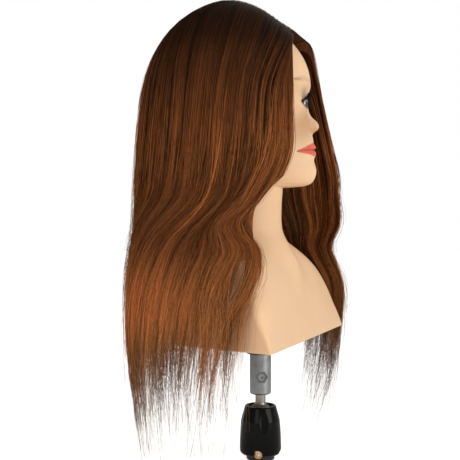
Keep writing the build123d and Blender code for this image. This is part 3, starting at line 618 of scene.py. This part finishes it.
R = skin_rings()
nrow = len(R)
verts = R.reshape(-1, 3)
apex = place(np.array([0.0]), np.array([6.0]), np.array([546.9]), np.radians(TURN))
verts = np.vstack([verts, apex])
top = (nrow - 1) * NR + np.arange(NR)
tris = np.column_stack([top, np.roll(top, -1), np.full(NR, len(verts) - 1)])
skin = make_mesh("moulded_figure", verts, grid_quads(nrow, NR, True), tris)
a = math.radians(TURN)
dx, dy = verts[:, 0], verts[:, 1] - NECK_Y
hu, hv = dx * math.cos(a) + dy * math.sin(a), -dx * math.sin(a) + dy * math.cos(a)
col, amt, wet = face_tint(hu, hv, verts[:, 2])
amt = np.where(verts[:, 2] > 335, amt, 0)
set_attr(skin, "tint", np.column_stack([col, np.ones(len(col))]), "FLOAT_COLOR")
set_attr(skin, "tint_amount", amt)
set_attr(skin, "tint_wet", wet * (verts[:, 2] > 335))
skin.data.materials.append(MAT_SKIN)
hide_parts("head_skin")
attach(skin, "head")


# ------------------------------------------------------------------ scalp cap
def scalp():
    rows, cols = 60, 160
    t = np.linspace(0, 1, rows)[:, None]
    az = np.linspace(0, 2 * np.pi, cols, endpoint=False)[None, :]
    tilt = np.radians(48.0)
    nrm = np.array([0, math.sin(tilt), math.cos(tilt)])
    e1 = np.array([0, -math.cos(tilt), math.sin(tilt)])
    e2 = np.array([1.0, 0, 0])
    pole = np.radians(4) + t * np.radians(92)
    d = (np.cos(pole)[..., None] * nrm + np.sin(pole)[..., None] * (np.cos(az)[..., None] * e1 + np.sin(az)[..., None] * e2))
    rho = skull_rho(d) + 1.1
    p = SKULL + rho[..., None] * d
    # keep behind the hairline
    back = p[..., 1] * nrm[1] + p[..., 2] * nrm[2] > (-70.5 * nrm[1] + 502.0 * nrm[2])
    q = place(p[..., 0], p[..., 1], p[..., 2], np.radians(TURN))
    quads = grid_quads(rows, cols, True)
    ok = back.ravel()[quads].all(1)
    return make_mesh("scalp", q.reshape(-1, 3), quads[ok])


cap = scalp()
cap.data.materials.append(MAT_SCALP)
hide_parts("scalp_cap")
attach(cap, "head")


# ------------------------------------------------------------------ fibres as tapered three-sided tubes
def tubes(name, P, radius, uv_x, mat, uv_y=None, sides=3):
    """P (n, k, 3) in mm; radius (n, k) in mm; uv_x (n,)."""
    n, k, _ = P.shape
    T = np.gradient(P, axis=1)
    T /= np.maximum(np.linalg.norm(T, axis=2, keepdims=True), 1e-9)
    ref = np.array([0.31, 0.27, 0.91]) / np.linalg.norm([0.31, 0.27, 0.91])
    alt = np.array([0.9, -0.4, 0.1]) / np.linalg.norm([0.9, -0.4, 0.1])
    out = P - np.array([0.0, NECK_Y, 0.0])
    out[..., 2] = 0
    out /= np.maximum(np.linalg.norm(out, axis=2, keepdims=True), 1e-6)
    A = np.cross(T, out)
    bad = np.linalg.norm(A, axis=2, keepdims=True) < 0.15
    A = np.where(bad, np.cross(T, alt), A)
    A /= np.maximum(np.linalg.norm(A, axis=2, keepdims=True), 1e-9)
    B = np.cross(T, A)
    ang = np.arange(sides) * 2 * np.pi / sides
    ring = (P[:, :, None, :] + radius[:, :, None, None] * (np.cos(ang)[None, None, :, None] * A[:, :, None, :]
                                                            + np.sin(ang)[None, None, :, None] * B[:, :, None, :]))
    V = ring.reshape(-1, 3)
    base = (np.arange(n) * k * sides)[:, None, None]
    row = (np.arange(k - 1) * sides)[None, :, None]
    c = np.arange(sides)[None, None, :]
    c2 = (np.arange(sides) + 1)[None, None, :] % sides
    quads = np.stack([base + row + c, base + row + c2, base + row + sides + c2, base + row + sides + c], -1).reshape(-1, 4)
    b0 = (np.arange(n) * k * sides)[:, None]
    tri = np.vstack([b0 + np.array([0, 2, 1])[None, :], b0 + (k - 1) * sides + np.array([0, 1, 2])[None, :]]) if sides == 3 else None
    o = make_mesh(name, V, quads, tri)
    along = np.linspace(0, 1, k)[None, :] * np.ones((n, 1)) if uv_y is None else uv_y
    across = np.repeat(uv_x[:, None], k, 1) if uv_x.ndim == 1 else uv_x
    uv = np.stack([np.clip(across, 0.002, 0.998), np.clip(along, 0.002, 0.998)], -1)
    uv = np.repeat(uv[:, :, None, :], sides, 2).reshape(-1, 2)
    set_uv(o, uv)
    o.data.materials.append(mat)
    return o


# ------------------------------------------------------------------ lashes
def lashes(side, name):
    n, k = 210, 9
    x = rng.uniform(-0.98, 1.06, n)
    u = 31.0 + 15.0 * x
    xx = np.clip(1 - x * x, 0, 1)
    z = eye_lines(x, xx)[0] + rng.uniform(-0.3, 0.3, n)
    phi = np.arctan2(u, 85.0)
    for _ in range(3):
        r = head_radius(phi, z)
        phi = np.arcsin(np.clip(u / r, -1, 1))
    v = -r * np.cos(phi) - features(u, z) + 0.4
    length = (4.8 + 4.2 * smooth((x + 0.8) / 1.4)) * rng.uniform(0.8, 1.08, n)
    t = np.linspace(0, 1, k)[None, :]
    fan = 0.42 * x + rng.normal(0, 0.06, n)
    du = np.sin(fan)[:, None] * t * length[:, None] * 0.8
    dv = -np.sin(t * 1.35) / 1.35 * length[:, None] * 0.95
    dz = (1 - np.cos(t * 1.9)) / 1.9 * length[:, None] * 1.35 + 0.06 * t * length[:, None]
    P = place(side * (u[:, None] + du), v[:, None] + dv, z[:, None] + dz, np.radians(TURN))
    rad = 0.33 * (1 - 0.75 * t) * np.ones((n, 1))
    o = tubes(name, P, rad, rng.random(n), MAT_LASH)
    return o


for side, node in ((-1, "eyelash_right"), (1, "eyelash_left")):
    o = lashes(side, "lashes_" + ("right" if side < 0 else "left"))
    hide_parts(node)
    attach(o, "head")

# ------------------------------------------------------------------ hair
# outer shape of the hair: z, half width, front, back
HAIR = np.array([
    (0.0, 140.0, 104.0, 106.0), (60.0, 152.0, 112.0, 112.0), (110.0, 159.0, 118.0, 117.0), (150.0, 162.0, 122.0, 120.0),
    (190.0, 160.0, 124.0, 121.5), (225.0, 152.0, 125.0, 122.0), (252.0, 137.0, 124.0, 122.0), (280.0, 119.0, 123.0, 122.5),
    (312.0, 105.0, 120.0, 123.0), (350.0, 97.0, 112.0, 122.5), (390.0, 94.0, 104.0, 120.5), (430.0, 92.0, 100.0, 118.0),
    (450.0, 91.5, 98.0, 116.5), (470.0, 90.0, 96.0, 113.0)])
# front edges of the face-framing locks: z, angle from the face (deg), radius
EDGE = {
    -1: np.array([(0.0, 74.0, 158.0), (104.0, 72.0, 168.0), (136.0, 70.5, 172.0), (165.0, 68.6, 173.0), (196.0, 66.8, 170.0),
                  (218.0, 63.6, 165.0), (246.0, 60.8, 157.0), (264.0, 62.0, 147.0), (286.0, 73.5, 130.0), (305.0, 74.0, 114.0),
                  (324.0, 68.5, 102.5), (340.0, 59.0, 103.0), (368.0, 52.5, 106.0), (400.0, 51.5, 106.5), (430.0, 51.5, 106.0),
                  (450.0, 51.0, 105.0)]),
    1: np.array([(0.0, 66.0, 166.0), (20.0, 65.5, 170.0), (60.0, 63.0, 178.0), (100.0, 61.7, 182.0), (150.0, 60.4, 184.5),
                 (193.0, 58.0, 180.0), (223.0, 56.4, 169.0), (245.0, 56.0, 156.0), (262.0, 54.5, 150.0), (288.0, 42.5, 154.5),
                 (311.0, 32.5, 153.0), (353.0, 30.0, 151.5), (387.0, 31.2, 143.0), (426.0, 31.5, 134.0), (450.0, 31.0, 127.0)])}


def super_radius(phi, z):
    w, f, b = curve(HAIR, 1, z), curve(HAIR, 2, z), curve(HAIR, 3, z)
    d = np.where(np.cos(phi) > 0, f, b)
    return 1.0 / (((np.abs(np.sin(phi)) / w) ** 2.15 + (np.abs(np.cos(phi)) / d) ** 2.15) ** (1 / 2.15))


# radius of the figure on a grid, for keeping hair off it
GZ = np.arange(0.0, 548.0, 3.0)
GP = np.radians(np.arange(-180.0, 180.1, 1.5))
FIG = np.zeros((len(GZ), len(GP)))
for i, z in enumerate(GZ):
    if z < 146.0:
        continue
    if z < 262.0:
        b = bust_outline(max(z, 149.0))
        ang = np.arctan2(b[:, 0], -(b[:, 1] - NECK_Y))
        rad = np.hypot(b[:, 0], b[:, 1] - NECK_Y)
        dense = np.linspace(0, 1, 12, endpoint=False)
        bx = (b[:, None, :] * (1 - dense[None, :, None]) + np.roll(b, -1, 0)[:, None, :] * dense[None, :, None]).reshape(-1, 2)
        ang = np.arctan2(bx[:, 0], -(bx[:, 1] - NECK_Y))
        rad = np.hypot(bx[:, 0], bx[:, 1] - NECK_Y)
        order = np.argsort(ang)
        FIG[i] = np.interp(GP, ang[order], rad[order], period=2 * np.pi)
    elif z < 331.5:
        FIG[i] = neck_radius(GP, z)
    else:
        FIG[i] = np.maximum(head_radius(GP, z), neck_radius(GP, z) if z < 360 else 0)
F2 = FIG.copy()
for k in range(1, 3):
    F2[k:] = np.maximum(F2[k:], FIG[:-k])
    F2[:-k] = np.maximum(F2[:-k], FIG[k:])
FIG = F2


def figure_radius(phi, z):
    phi = (phi + np.pi) % (2 * np.pi) - np.pi
    zi = np.clip(z / 3.0, 0, len(GZ) - 1.001)
    pi_ = np.clip((phi + np.pi) / math.radians(1.5), 0, len(GP) - 1.001)
    z0, p0 = zi.astype(int), pi_.astype(int)
    fz, fp = zi - z0, pi_ - p0
    return ((FIG[z0, p0] * (1 - fp) + FIG[z0, p0 + 1] * fp) * (1 - fz)
            + (FIG[z0 + 1, p0] * (1 - fp) + FIG[z0 + 1, p0 + 1] * fp) * fz)


Z_TOP = 450.0
GAP = {-1: 0.050, 1: 0.27}


def flow(side, tau, z):
    """How the locks part over the shoulder: the right side opens a small gap behind its front lock, the left side
    splits into a lock in front of the shoulder and the rest behind it."""
    c = GAP[side]
    if side < 0:
        w = smooth((254.0 - z) / 18.0) * smooth((z - 184.0) / 26.0)
        half = 0.030 * w
        front = tau * (c - half) / c
        back = 0.24 - (0.24 - tau) * (0.24 - c - half) / (0.24 - c)
        return np.where(tau < c, front, np.where(tau < 0.24, back, tau))
    w = smooth((262.0 - z) / 74.0)
    front = tau * (1 - w) + tau * (0.125 / c) * w
    back = tau * (1 - w) + (0.40 + (tau - c) * 0.60 / (1 - c)) * w
    return np.where(tau < c, front, back)


def shell(side, tau, lam, z, dphi=0.0, dr=0.0):
    """Point of the hanging hair: tau 0 at the front edge to 1 at the back, lam 0 inside to 1 outside."""
    e = EDGE[side]
    tau = flow(side, tau, z)
    first = np.radians(curve(e, 1, z))
    calm = np.radians(np.interp(z, [0.0, 450.0], [70.0, 51.0] if side < 0 else [66.0, 33.0]))
    phi = calm + (np.pi - calm) * tau + (first - calm) * (1 - smooth(tau / 0.36)) + dphi
    outer = super_radius(phi, z)
    k = smooth(tau / 0.20)
    outer = curve(e, 2, z) * (1 - k) + outer * k
    outer = np.maximum(outer, figure_radius(side * phi, z) + 7.0)
    thick = (13.0 + 9.0 * smooth(tau / 0.3)) * (1 - 0.35 * smooth((150.0 - z) / 120.0))
    inner = np.maximum(outer - thick, np.minimum(figure_radius(side * phi, z) + 2.0, outer - 4.0))
    r = inner + (outer - inner) * lam + dr
    r = np.maximum(r, figure_radius(side * phi, z) + 1.6)
    return side * r * np.sin(phi), -r * np.cos(phi)


def strands(side, tau, lam, z_tip, k_top=13, k_low=21, wob=None, lift=1.0):
    """Paths (n, k, 3) in mm in the row frame, from the scalp to the tip."""
    n = len(tau)
    part_v = np.interp(tau, [0, 0.06, 0.12, 0.35, 0.6, 1.0], [-68.5, -61.0, -51.0, -18.0, 14.0, 42.0])
    up = np.stack([np.full(n, side * 1.2), part_v - SKULL[1], np.zeros(n)], -1)
    # direction of the part point on the skull, from its height there
    zz = np.interp(part_v, [-69, -55, -39, -22, -9, 0, 14, 30, 42, 55], [503, 518.5, 530, 539, 544, 546, 545.5, 541, 535.5, 527])
    d0 = np.stack([np.full(n, side * 1.5), part_v, zz], -1) - SKULL
    d0 /= np.linalg.norm(d0, axis=1, keepdims=True)
    su, sv = shell(side, tau, lam, np.full(n, Z_TOP))
    p1 = np.stack([su, sv, np.full(n, Z_TOP)], -1) - SKULL
    rho1 = np.linalg.norm(p1, axis=1)
    d1 = p1 / rho1[:, None]
    root = np.clip((1 - lam) * 0.92, 0.0, 0.95) ** 1.15
    t = root[:, None] + (1 - root[:, None]) * np.linspace(0, 1, k_top)[None, :]
    om = np.arccos(np.clip((d0 * d1).sum(1), -1, 1))[:, None]
    d = (np.sin((1 - t) * om)[..., None] * d0[:, None, :] + np.sin(t * om)[..., None] * d1[:, None, :]) / np.sin(om)[..., None]
    if side < 0:
        mid = np.array([-42.0, -66.0, 56.0])
        mid /= np.linalg.norm(mid)
        c = 2 * mid - 0.5 * (d0 + d1)
        b = ((1 - t) ** 2)[..., None] * d0[:, None, :] + (2 * t * (1 - t))[..., None] * c[:, None, :] + (t ** 2)[..., None] * d1[:, None, :]
        b /= np.linalg.norm(b, axis=2, keepdims=True)
        k = (1 - smooth(tau / 0.22))[:, None, None]
        d = d * (1 - k) + b * k
        d /= np.linalg.norm(d, axis=2, keepdims=True)
    surf = skull_rho(d)
    h1 = np.maximum(rho1 - surf[:, -1], 1.0)[:, None]
    if side < 0:
        crown = np.interp(tau, [0, 0.05, 0.12, 0.3, 1.0], [2.5, 4.5, 8.0, 11.5, 12.0])
    else:
        crown = np.interp(tau, [0, 0.15, 0.4, 1.0], [22.0, 17.0, 12.5, 12.0])
    crown = (crown * np.minimum(lam, 1.02) * lift)[:, None]
    h = crown * (1 - t) + h1 * t ** (1.3 if side < 0 else 1.9)
    arc = (t - root[:, None]) * om * 95.0
    start = 1.2 + 2.6 * smooth(tau / 0.25)[:, None]
    h = start + np.maximum(h - start, 0) * (1 - np.exp(-arc / (8.0 if side < 0 else 5.5)))
    P = SKULL + (surf + h)[..., None] * d
    top = place(P[..., 0], P[..., 1], P[..., 2], np.radians(TURN))
    s = np.linspace(0, 1, k_low + 1)[None, 1:]
    z = Z_TOP + (z_tip[:, None] - Z_TOP) * s
    tt, ll = tau[:, None] + 0 * z, lam[:, None] + 0 * z
    dphi, dr = (0.0, 0.0) if wob is None else wob(z)
    lu, lv = shell(side, tt, ll, z, dphi, dr)
    low = place(lu, lv, z)
    P = np.concatenate([top, low], 1)
    w = np.zeros(P.shape[1])
    span = 0.42 * k_top
    i = np.arange(P.shape[1])
    w = smooth(1.6 - np.abs(i - (k_top - 0.5)) / span)[None, :, None] * (i > 0)[None, :, None]
    for _ in range(k_top):
        M = P.copy()
        M[:, 1:-1] = 0.25 * P[:, :-2] + 0.5 * P[:, 1:-1] + 0.25 * P[:, 2:]
        P += (M - P) * w
    ca, sa = math.cos(math.radians(TURN)), math.sin(math.radians(TURN))
    x, y = P[:, :k_top + 3, 0], P[:, :k_top + 3, 1] - NECK_Y
    q = np.stack([x * ca + y * sa, -x * sa + y * ca, P[:, :k_top + 3, 2]], -1) - SKULL
    far = np.linalg.norm(q, axis=2, keepdims=True)
    q = q / far
    near = skull_rho(q)[..., None] + 1.6
    q = SKULL + q * np.maximum(far, near)
    P[:, :k_top + 3] = place(q[..., 0], q[..., 1], q[..., 2], math.radians(TURN))
    return P


def clump_tone(n, tau, seed):
    g = np.random.default_rng(seed)
    m = 150
    knots = np.linspace(0, 1, m)
    wide = np.interp(tau, knots, g.normal(0, 1, m))
    fine = np.interp(tau, np.linspace(0, 1, 34), g.normal(0, 1, 34))
    return np.clip(0.5 + 0.13 * wide + 0.11 * fine + 0.17 * g.normal(0, 1, n), 0.002, 0.998)


def tone_along(side, tau, tone, P):
    """Painted light and shade on the strands: lighter where the light comes through the lengths over the shoulder and
    by the front of the parting, darker towards the crown behind the front locks.
    """
    z = P[..., 2]
    t = tau[:, None]
    glow = smooth((t - 0.10) / 0.10) * smooth((0.62 - t) / 0.16) * bell(z - 196.0, 33.0) * (0.30 if side < 0 else 0.16)
    glow = glow + 0.26 * smooth((0.10 - t) / 0.07) * smooth((z - 462.0) / 25.0)
    shade = 0.16 * smooth((z - 478.0) / 50.0) * smooth((t - 0.10) / 0.1)
    return tone[:, None] + glow - shade


def clump_noise(side, n, tau, lam, seed, amount=1.0):
    """Shared waves for strands that lie together, and a smaller wander for each."""
    g = np.random.default_rng(seed)
    m = 170
    centre = np.sort(g.random(m))
    own = np.clip(np.searchsorted(centre, tau + g.normal(0, 0.003, n)), 0, m - 1)
    amp = g.normal(0, 1, (m, 4))
    ph = g.random((m, 4)) * 6.28
    pull = centre[own] - tau
    a1, p1 = g.normal(0, 1, (n, 2)), g.random((n, 2)) * 6.28
    tight = g.uniform(0.35, 0.95, m)[own]
    stray = (g.random(n) < 0.07) * g.normal(0, 1, n)

    def wob(z):
        q = np.clip((430.0 - z) / 400.0, 0, 1)
        A = amp[own]
        F = ph[own]
        w = (A[:, 0:1] * np.sin(z / 62.0 + F[:, 0:1]) + 0.7 * A[:, 1:2] * np.sin(z / 34.0 + F[:, 1:2])) * (0.4 + 3.4 * q)
        own_w = (a1[:, 0:1] * np.sin(z / 55.0 + p1[:, 0:1]) + 0.6 * a1[:, 1:2] * np.sin(z / 23.0 + p1[:, 1:2])) * (0.9 + 2.6 * q ** 1.3)
        own_w = own_w + stray[:, None] * 9.0 * q ** 1.6
        gather = pull[:, None] * tight[:, None] * smooth((q - 0.15) / 0.8) * 2.5
        dphi = amount * (w + own_w) / 130.0 + gather
        dr = amount * (0.55 * A[:, 2:3] * np.sin(z / 48.0 + F[:, 2:3]) * (0.4 + 2.6 * q) + np.abs(stray)[:, None] * (1.2 + 3.5 * q))
        return dphi, dr
    return wob


def tip_heights(side, tau, g):
    n = len(tau)
    base = np.interp(tau, [0, 0.1, 0.25, 0.5, 1.0], [72, 70, 56, 44, 40]) if side < 0 else np.interp(tau, [0, 0.1, 0.25, 0.5, 1.0], [34, 40, 60, 50, 44])
    u = g.random(n)
    z = np.interp(u, [0, 0.02, 0.09, 0.25, 0.5, 1.0], [-45.0, 0.0, 46.0, 86.0, 120.0, 182.0]) + base
    return np.clip(z, 3.0, 262.0)


def hair_uv(P, z_tip):
    """0 at the root to 1 at the tip, by height so that the colour bands, the painted light band included, line up from
    strand to strand.
    """
    z = P[..., 2]
    return np.clip((555.0 - z) / (555.0 - 5.0), 0, 1)


GROUPS = [
    ("front", 0.0, 0.13, ["hair_front_{}"], 2300),
    ("side", 0.13, 0.52, ["hair_side_{}"], 4300),
    ("back", 0.52, 1.0, ["hair_back"], 3900),
]
COUNT = 1.0
seed = 11
for side, word in ((-1, "right"), (1, "left")):
    for gname, t0, t1, nodes_, count in GROUPS:
        n = int(count * COUNT)
        g = np.random.default_rng(seed)
        tau = g.uniform(t0, t1, n)
        if gname == "front":
            tau = t0 + (t1 - t0) * g.random(n) ** 1.15
        # most strands lie on the outside, some line the inside
        lam = np.where(g.random(n) < 0.82, g.uniform(0.80, 1.04, n), g.uniform(0.0, 0.5, n))
        z_tip = tip_heights(side, tau, g)
        wob = clump_noise(side, n, tau, lam, seed + 500)
        P = strands(side, tau, lam, z_tip, wob=wob)
        k = P.shape[1]
        s = np.linspace(0, 1, k)[None, :]
        rad = (0.27 * g.uniform(0.65, 1.2, n))[:, None] * (1 - 0.72 * smooth((s - 0.45) / 0.55))
        tone = tone_along(side, tau, clump_tone(n, tau, seed + 70), P)
        o = tubes(f"hair_{gname}_{word}_strands", P, rad, tone, MAT_HAIR, hair_uv(P, z_tip))
        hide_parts(*[x.format(word) for x in nodes_])
        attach(o, "head")
        seed += 1
    # crown and parting
    n = int(1500 * COUNT)
    g = np.random.default_rng(seed)
    tau = g.random(n) ** 1.1
    lam = g.uniform(0.93, 1.06, n)
    z_tip = tip_heights(side, tau, g) + 60
    P = strands(side, tau, np.minimum(lam, 1.06), z_tip, wob=clump_noise(side, n, tau, lam, seed + 500, 1.3))
    k = P.shape[1]
    s = np.linspace(0, 1, k)[None, :]
    rad = (0.22 * g.uniform(0.7, 1.2, n))[:, None] * (1 - 0.65 * smooth((s - 0.5) / 0.5))
    tone = tone_along(side, tau, clump_tone(n, tau, seed + 70), P)
    o = tubes(f"hair_top_{word}_strands", P, rad, tone, MAT_HAIR, hair_uv(P, z_tip))
    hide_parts(f"hair_top_{word}")
    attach(o, "head")
    seed += 1


def loose(side, count, seed, name):
    """Single fine hairs that have strayed from the locks."""
    g = np.random.default_rng(seed)
    tau = np.where(g.random(count) < 0.35, g.random(count) * 0.10, g.random(count))
    lam = g.uniform(1.0, 1.12, count)
    z_tip = g.uniform(60.0, 330.0, count)
    a, p = g.normal(0, 1, (count, 3)), g.random((count, 3)) * 6.28
    out = np.abs(g.normal(0, 1, count))

    def wob(z):
        q = np.clip((450.0 - z) / 300.0, 0, 1.3)
        w = a[:, 0:1] * np.sin(z / 70.0 + p[:, 0:1]) + 0.6 * a[:, 1:2] * np.sin(z / 29.0 + p[:, 1:2]) + 0.8 * a[:, 2:3] * (z < 330)
        return w * (0.5 + 6.0 * q) / 120.0, out[:, None] * (0.6 + 3.2 * q)
    P = strands(side, tau, lam, z_tip, wob=wob, lift=1.12)
    P[..., 1] = np.maximum(P[..., 1], -86.0)
    s = np.linspace(0, 1, P.shape[1])[None, :]
    rad = (0.15 * g.uniform(0.7, 1.3, count))[:, None] * (1 - 0.5 * s)
    o = tubes(name, P, rad, np.clip(0.66 + 0.16 * g.normal(0, 1, count), 0.3, 0.98), MAT_HAIR, hair_uv(P, z_tip))
    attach(o, "head")


for side, word in ((-1, "right"), (1, "left")):
    loose(side, int(420 * COUNT), 77 + side, f"hair_loose_{word}")


def sheet(side, lam0, seed, z_end, name, cols=420, k_top=22, k_low=64):
    """A continuous lock surface under the loose strands, ridged like combed hair, with a ragged lower edge."""
    g = np.random.default_rng(seed)
    tau = np.linspace(0.0, 1.003, cols)
    ridge = np.zeros(cols)
    for f, amp in ((7, 0.9), (17, 0.8), (41, 0.6), (83, 0.35), (150, 0.25)):
        ridge += amp * np.sin(2 * np.pi * f * tau * (1 + 0.03 * np.sin(9 * tau)) + g.random() * 6.28)
    fringe = np.interp(np.arange(cols), np.arange(0, cols + 6, 6), g.normal(0, 1, len(np.arange(0, cols + 6, 6))))
    z_tip = z_end + 16.0 * fringe + 12.0 * g.normal(0, 1, cols)
    lam = np.full(cols, lam0)
    ph = g.random(6) * 6.28

    def wob(z):
        q = np.clip((430.0 - z) / 400.0, 0, 1)
        t = tau[:, None]
        w = np.sin(z / 62.0 + 14 * t + ph[0]) + 0.7 * np.sin(z / 36.0 + 31 * t + ph[1])
        dphi = w * (0.3 + 2.4 * q) / 140.0 * smooth(t / 0.05) * smooth((1.0 - t) / 0.05)
        rid = ridge[:, None] * (0.5 + 0.5 * q) + 0.6 * np.sin(z / 44.0 + 40 * t + ph[2]) * q
        return dphi, rid
    P = strands(side, tau, lam, z_tip, k_top, k_low, wob)
    P = np.transpose(P, (1, 0, 2))
    rows = P.shape[0]
    quads = grid_quads(rows, cols)
    c0 = quads[:, 0] % cols
    cut = (tau[c0] < GAP[side]) & (tau[np.minimum(c0 + 1, cols - 1)] >= GAP[side]) & (P.reshape(-1, 3)[quads[:, 3], 2] < (256.0 if side < 0 else 266.0))
    o = make_mesh(name, P.reshape(-1, 3), quads[~cut])
    v = np.clip((555.0 - P[..., 2]) / 550.0, 0.002, 0.998)
    u = np.broadcast_to(0.002 + 0.996 * tau / 1.003, v.shape)
    set_uv(o, np.stack([u, v], -1).reshape(-1, 2))
    o.data.materials.append(MAT_SHEET)
    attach(o, "head")
    return o


for side, word in ((-1, "right"), (1, "left")):
    sheet(side, 0.80, 900 + side, 226.0 if side < 0 else 214.0, f"hair_mass_outer_{word}")
    sheet(side, 0.42, 910 + side, 208.0, f"hair_mass_inner_{word}")

# ------------------------------------------------------------------ hard parts: the solid model's own shapes, finished
FINISH = {
    "socket_body": MAT_BLACK, "pole_screw_insert": MAT_BRASS, "pole_screw": MAT_BRIGHT, "lower_seat": MAT_NYLON,
    "thrust_ring": MAT_NYLON, "ball_stud": MAT_STUD, "lock_collar": MAT_COLLAR, "mounting_sleeve": MAT_SLEEVE,
    "sleeve_nut": MAT_DARK, "sleeve_screw": MAT_SLEEVE, "receiver_tube": MAT_BLACK, "receiver_screws": MAT_BRIGHT,
    "base_plate": MAT_WOOD, "head_filler": MAT_FOAM, "bust_filler": MAT_FOAM}
for node, mat in FINISH.items():
    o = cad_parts[node]
    o.data.materials.clear()
    o.data.materials.append(mat)
    if node in ("head_filler", "bust_filler"):
        continue
    bev = o.modifiers.new("edge", "BEVEL")
    bev.width = 0.00035
    bev.segments = 2
    bev.limit_method = "ANGLE"
    bev.angle_limit = math.radians(32)
    bev.harden_normals = False
    o.data.polygons.foreach_set("use_smooth", np.ones(len(o.data.polygons), bool))
    sm = o.modifiers.new("weight", "WEIGHTED_NORMAL")
    sm.keep_sharp = True

# ------------------------------------------------------------------ studio
floor_mat = Nodes("studio_floor")
fn = floor_mat.noise(3.0, 2.0, coords(floor_mat))
fr = floor_mat.ramp(fn.outputs["Fac"], [(0.0, (0.93, 0.93, 0.93)), (1.0, (0.97, 0.97, 0.97))])
floor_mat.link(fr.outputs["Color"], floor_mat.b.inputs["Base Color"])
floor_mat.b.inputs["Roughness"].default_value = 0.9
floor_mat.b.inputs["Emission Color"].default_value = (1, 1, 1, 1)
fpath = floor_mat.add("ShaderNodeLightPath")
fseen = floor_mat.add("ShaderNodeMapRange")
floor_mat.link(fpath.outputs["Is Camera Ray"], fseen.inputs["Value"])
fseen.inputs["To Min"].default_value = 0.05
fseen.inputs["To Max"].default_value = 0.75
floor_mat.link(fseen.outputs["Result"], floor_mat.b.inputs["Emission Strength"])
N = 48
xs = np.linspace(-1, 1, N) * 9000
gx, gy = np.meshgrid(xs, xs)
floor = make_mesh("studio_floor", np.stack([gx, gy, np.full_like(gx, -0.6)], -1).reshape(-1, 3), grid_quads(N, N))
floor.data.materials.append(floor_mat.m)

world = bpy.data.worlds.new("studio")
world.use_nodes = True
world.node_tree.nodes["Background"].inputs[0].default_value = (1, 1, 1, 1)
wt = world.node_tree
path = wt.nodes.new("ShaderNodeLightPath")
seen = wt.nodes.new("ShaderNodeMapRange")
wt.links.new(path.outputs["Is Camera Ray"], seen.inputs["Value"])
seen.inputs["To Min"].default_value = 0.50
seen.inputs["To Max"].default_value = 1.0
wt.links.new(seen.outputs["Result"], wt.nodes["Background"].inputs[1])
tone = wt.nodes.new("ShaderNodeMix")
tone.data_type = "RGBA"
wt.links.new(path.outputs["Is Camera Ray"], tone.inputs[0])
tone.inputs[6].default_value = (1.0, 0.965, 0.92, 1)
tone.inputs[7].default_value = (1, 1, 1, 1)
wt.links.new(tone.outputs[2], wt.nodes["Background"].inputs[0])
scene.world = world


def area(name, loc, target, size, watts, colour=(1, 1, 1)):
    d = bpy.data.lights.new(name, "AREA")
    d.shape = "RECTANGLE"
    d.size, d.size_y = size
    d.energy = watts
    d.color = colour
    o = bpy.data.objects.new(name, d)
    o.location = loc
    o.rotation_euler = (Vector(target) - Vector(loc)).to_track_quat("-Z", "Y").to_euler()
    scene.collection.objects.link(o)
    return o


area("key_front", (-0.42, -1.75, 0.66), (0, 0, 0.33), (1.1, 1.2), 13.5, (1.0, 0.98, 0.95))
area("fill_camera", (-1.7, 0.1, 0.9), (0, 0, 0.33), (0.7, 1.1), 6.5, (1.0, 0.92, 0.83))
area("rim_back", (-0.5, 1.6, 1.1), (0, 0, 0.35), (0.8, 1.0), 7.0)

cam_data = bpy.data.cameras.new("camera")
cam_data.sensor_width = 36.0
cam_data.lens = 36.0 * 850.0 / 460.0
cam_data.clip_start = 0.05
cam_data.clip_end = 60.0
cam = bpy.data.objects.new("camera", cam_data)
cam.location = (-0.977, -0.344, 0.278)
yaw = math.radians(19.4 + 2.05)
cam.rotation_euler = Vector((math.cos(yaw), math.sin(yaw), 0.0)).to_track_quat("-Z", "Y").to_euler()
scene.collection.objects.link(cam)
scene.camera = cam
scene.view_settings.view_transform = "Standard"
scene.view_settings.look = "None"
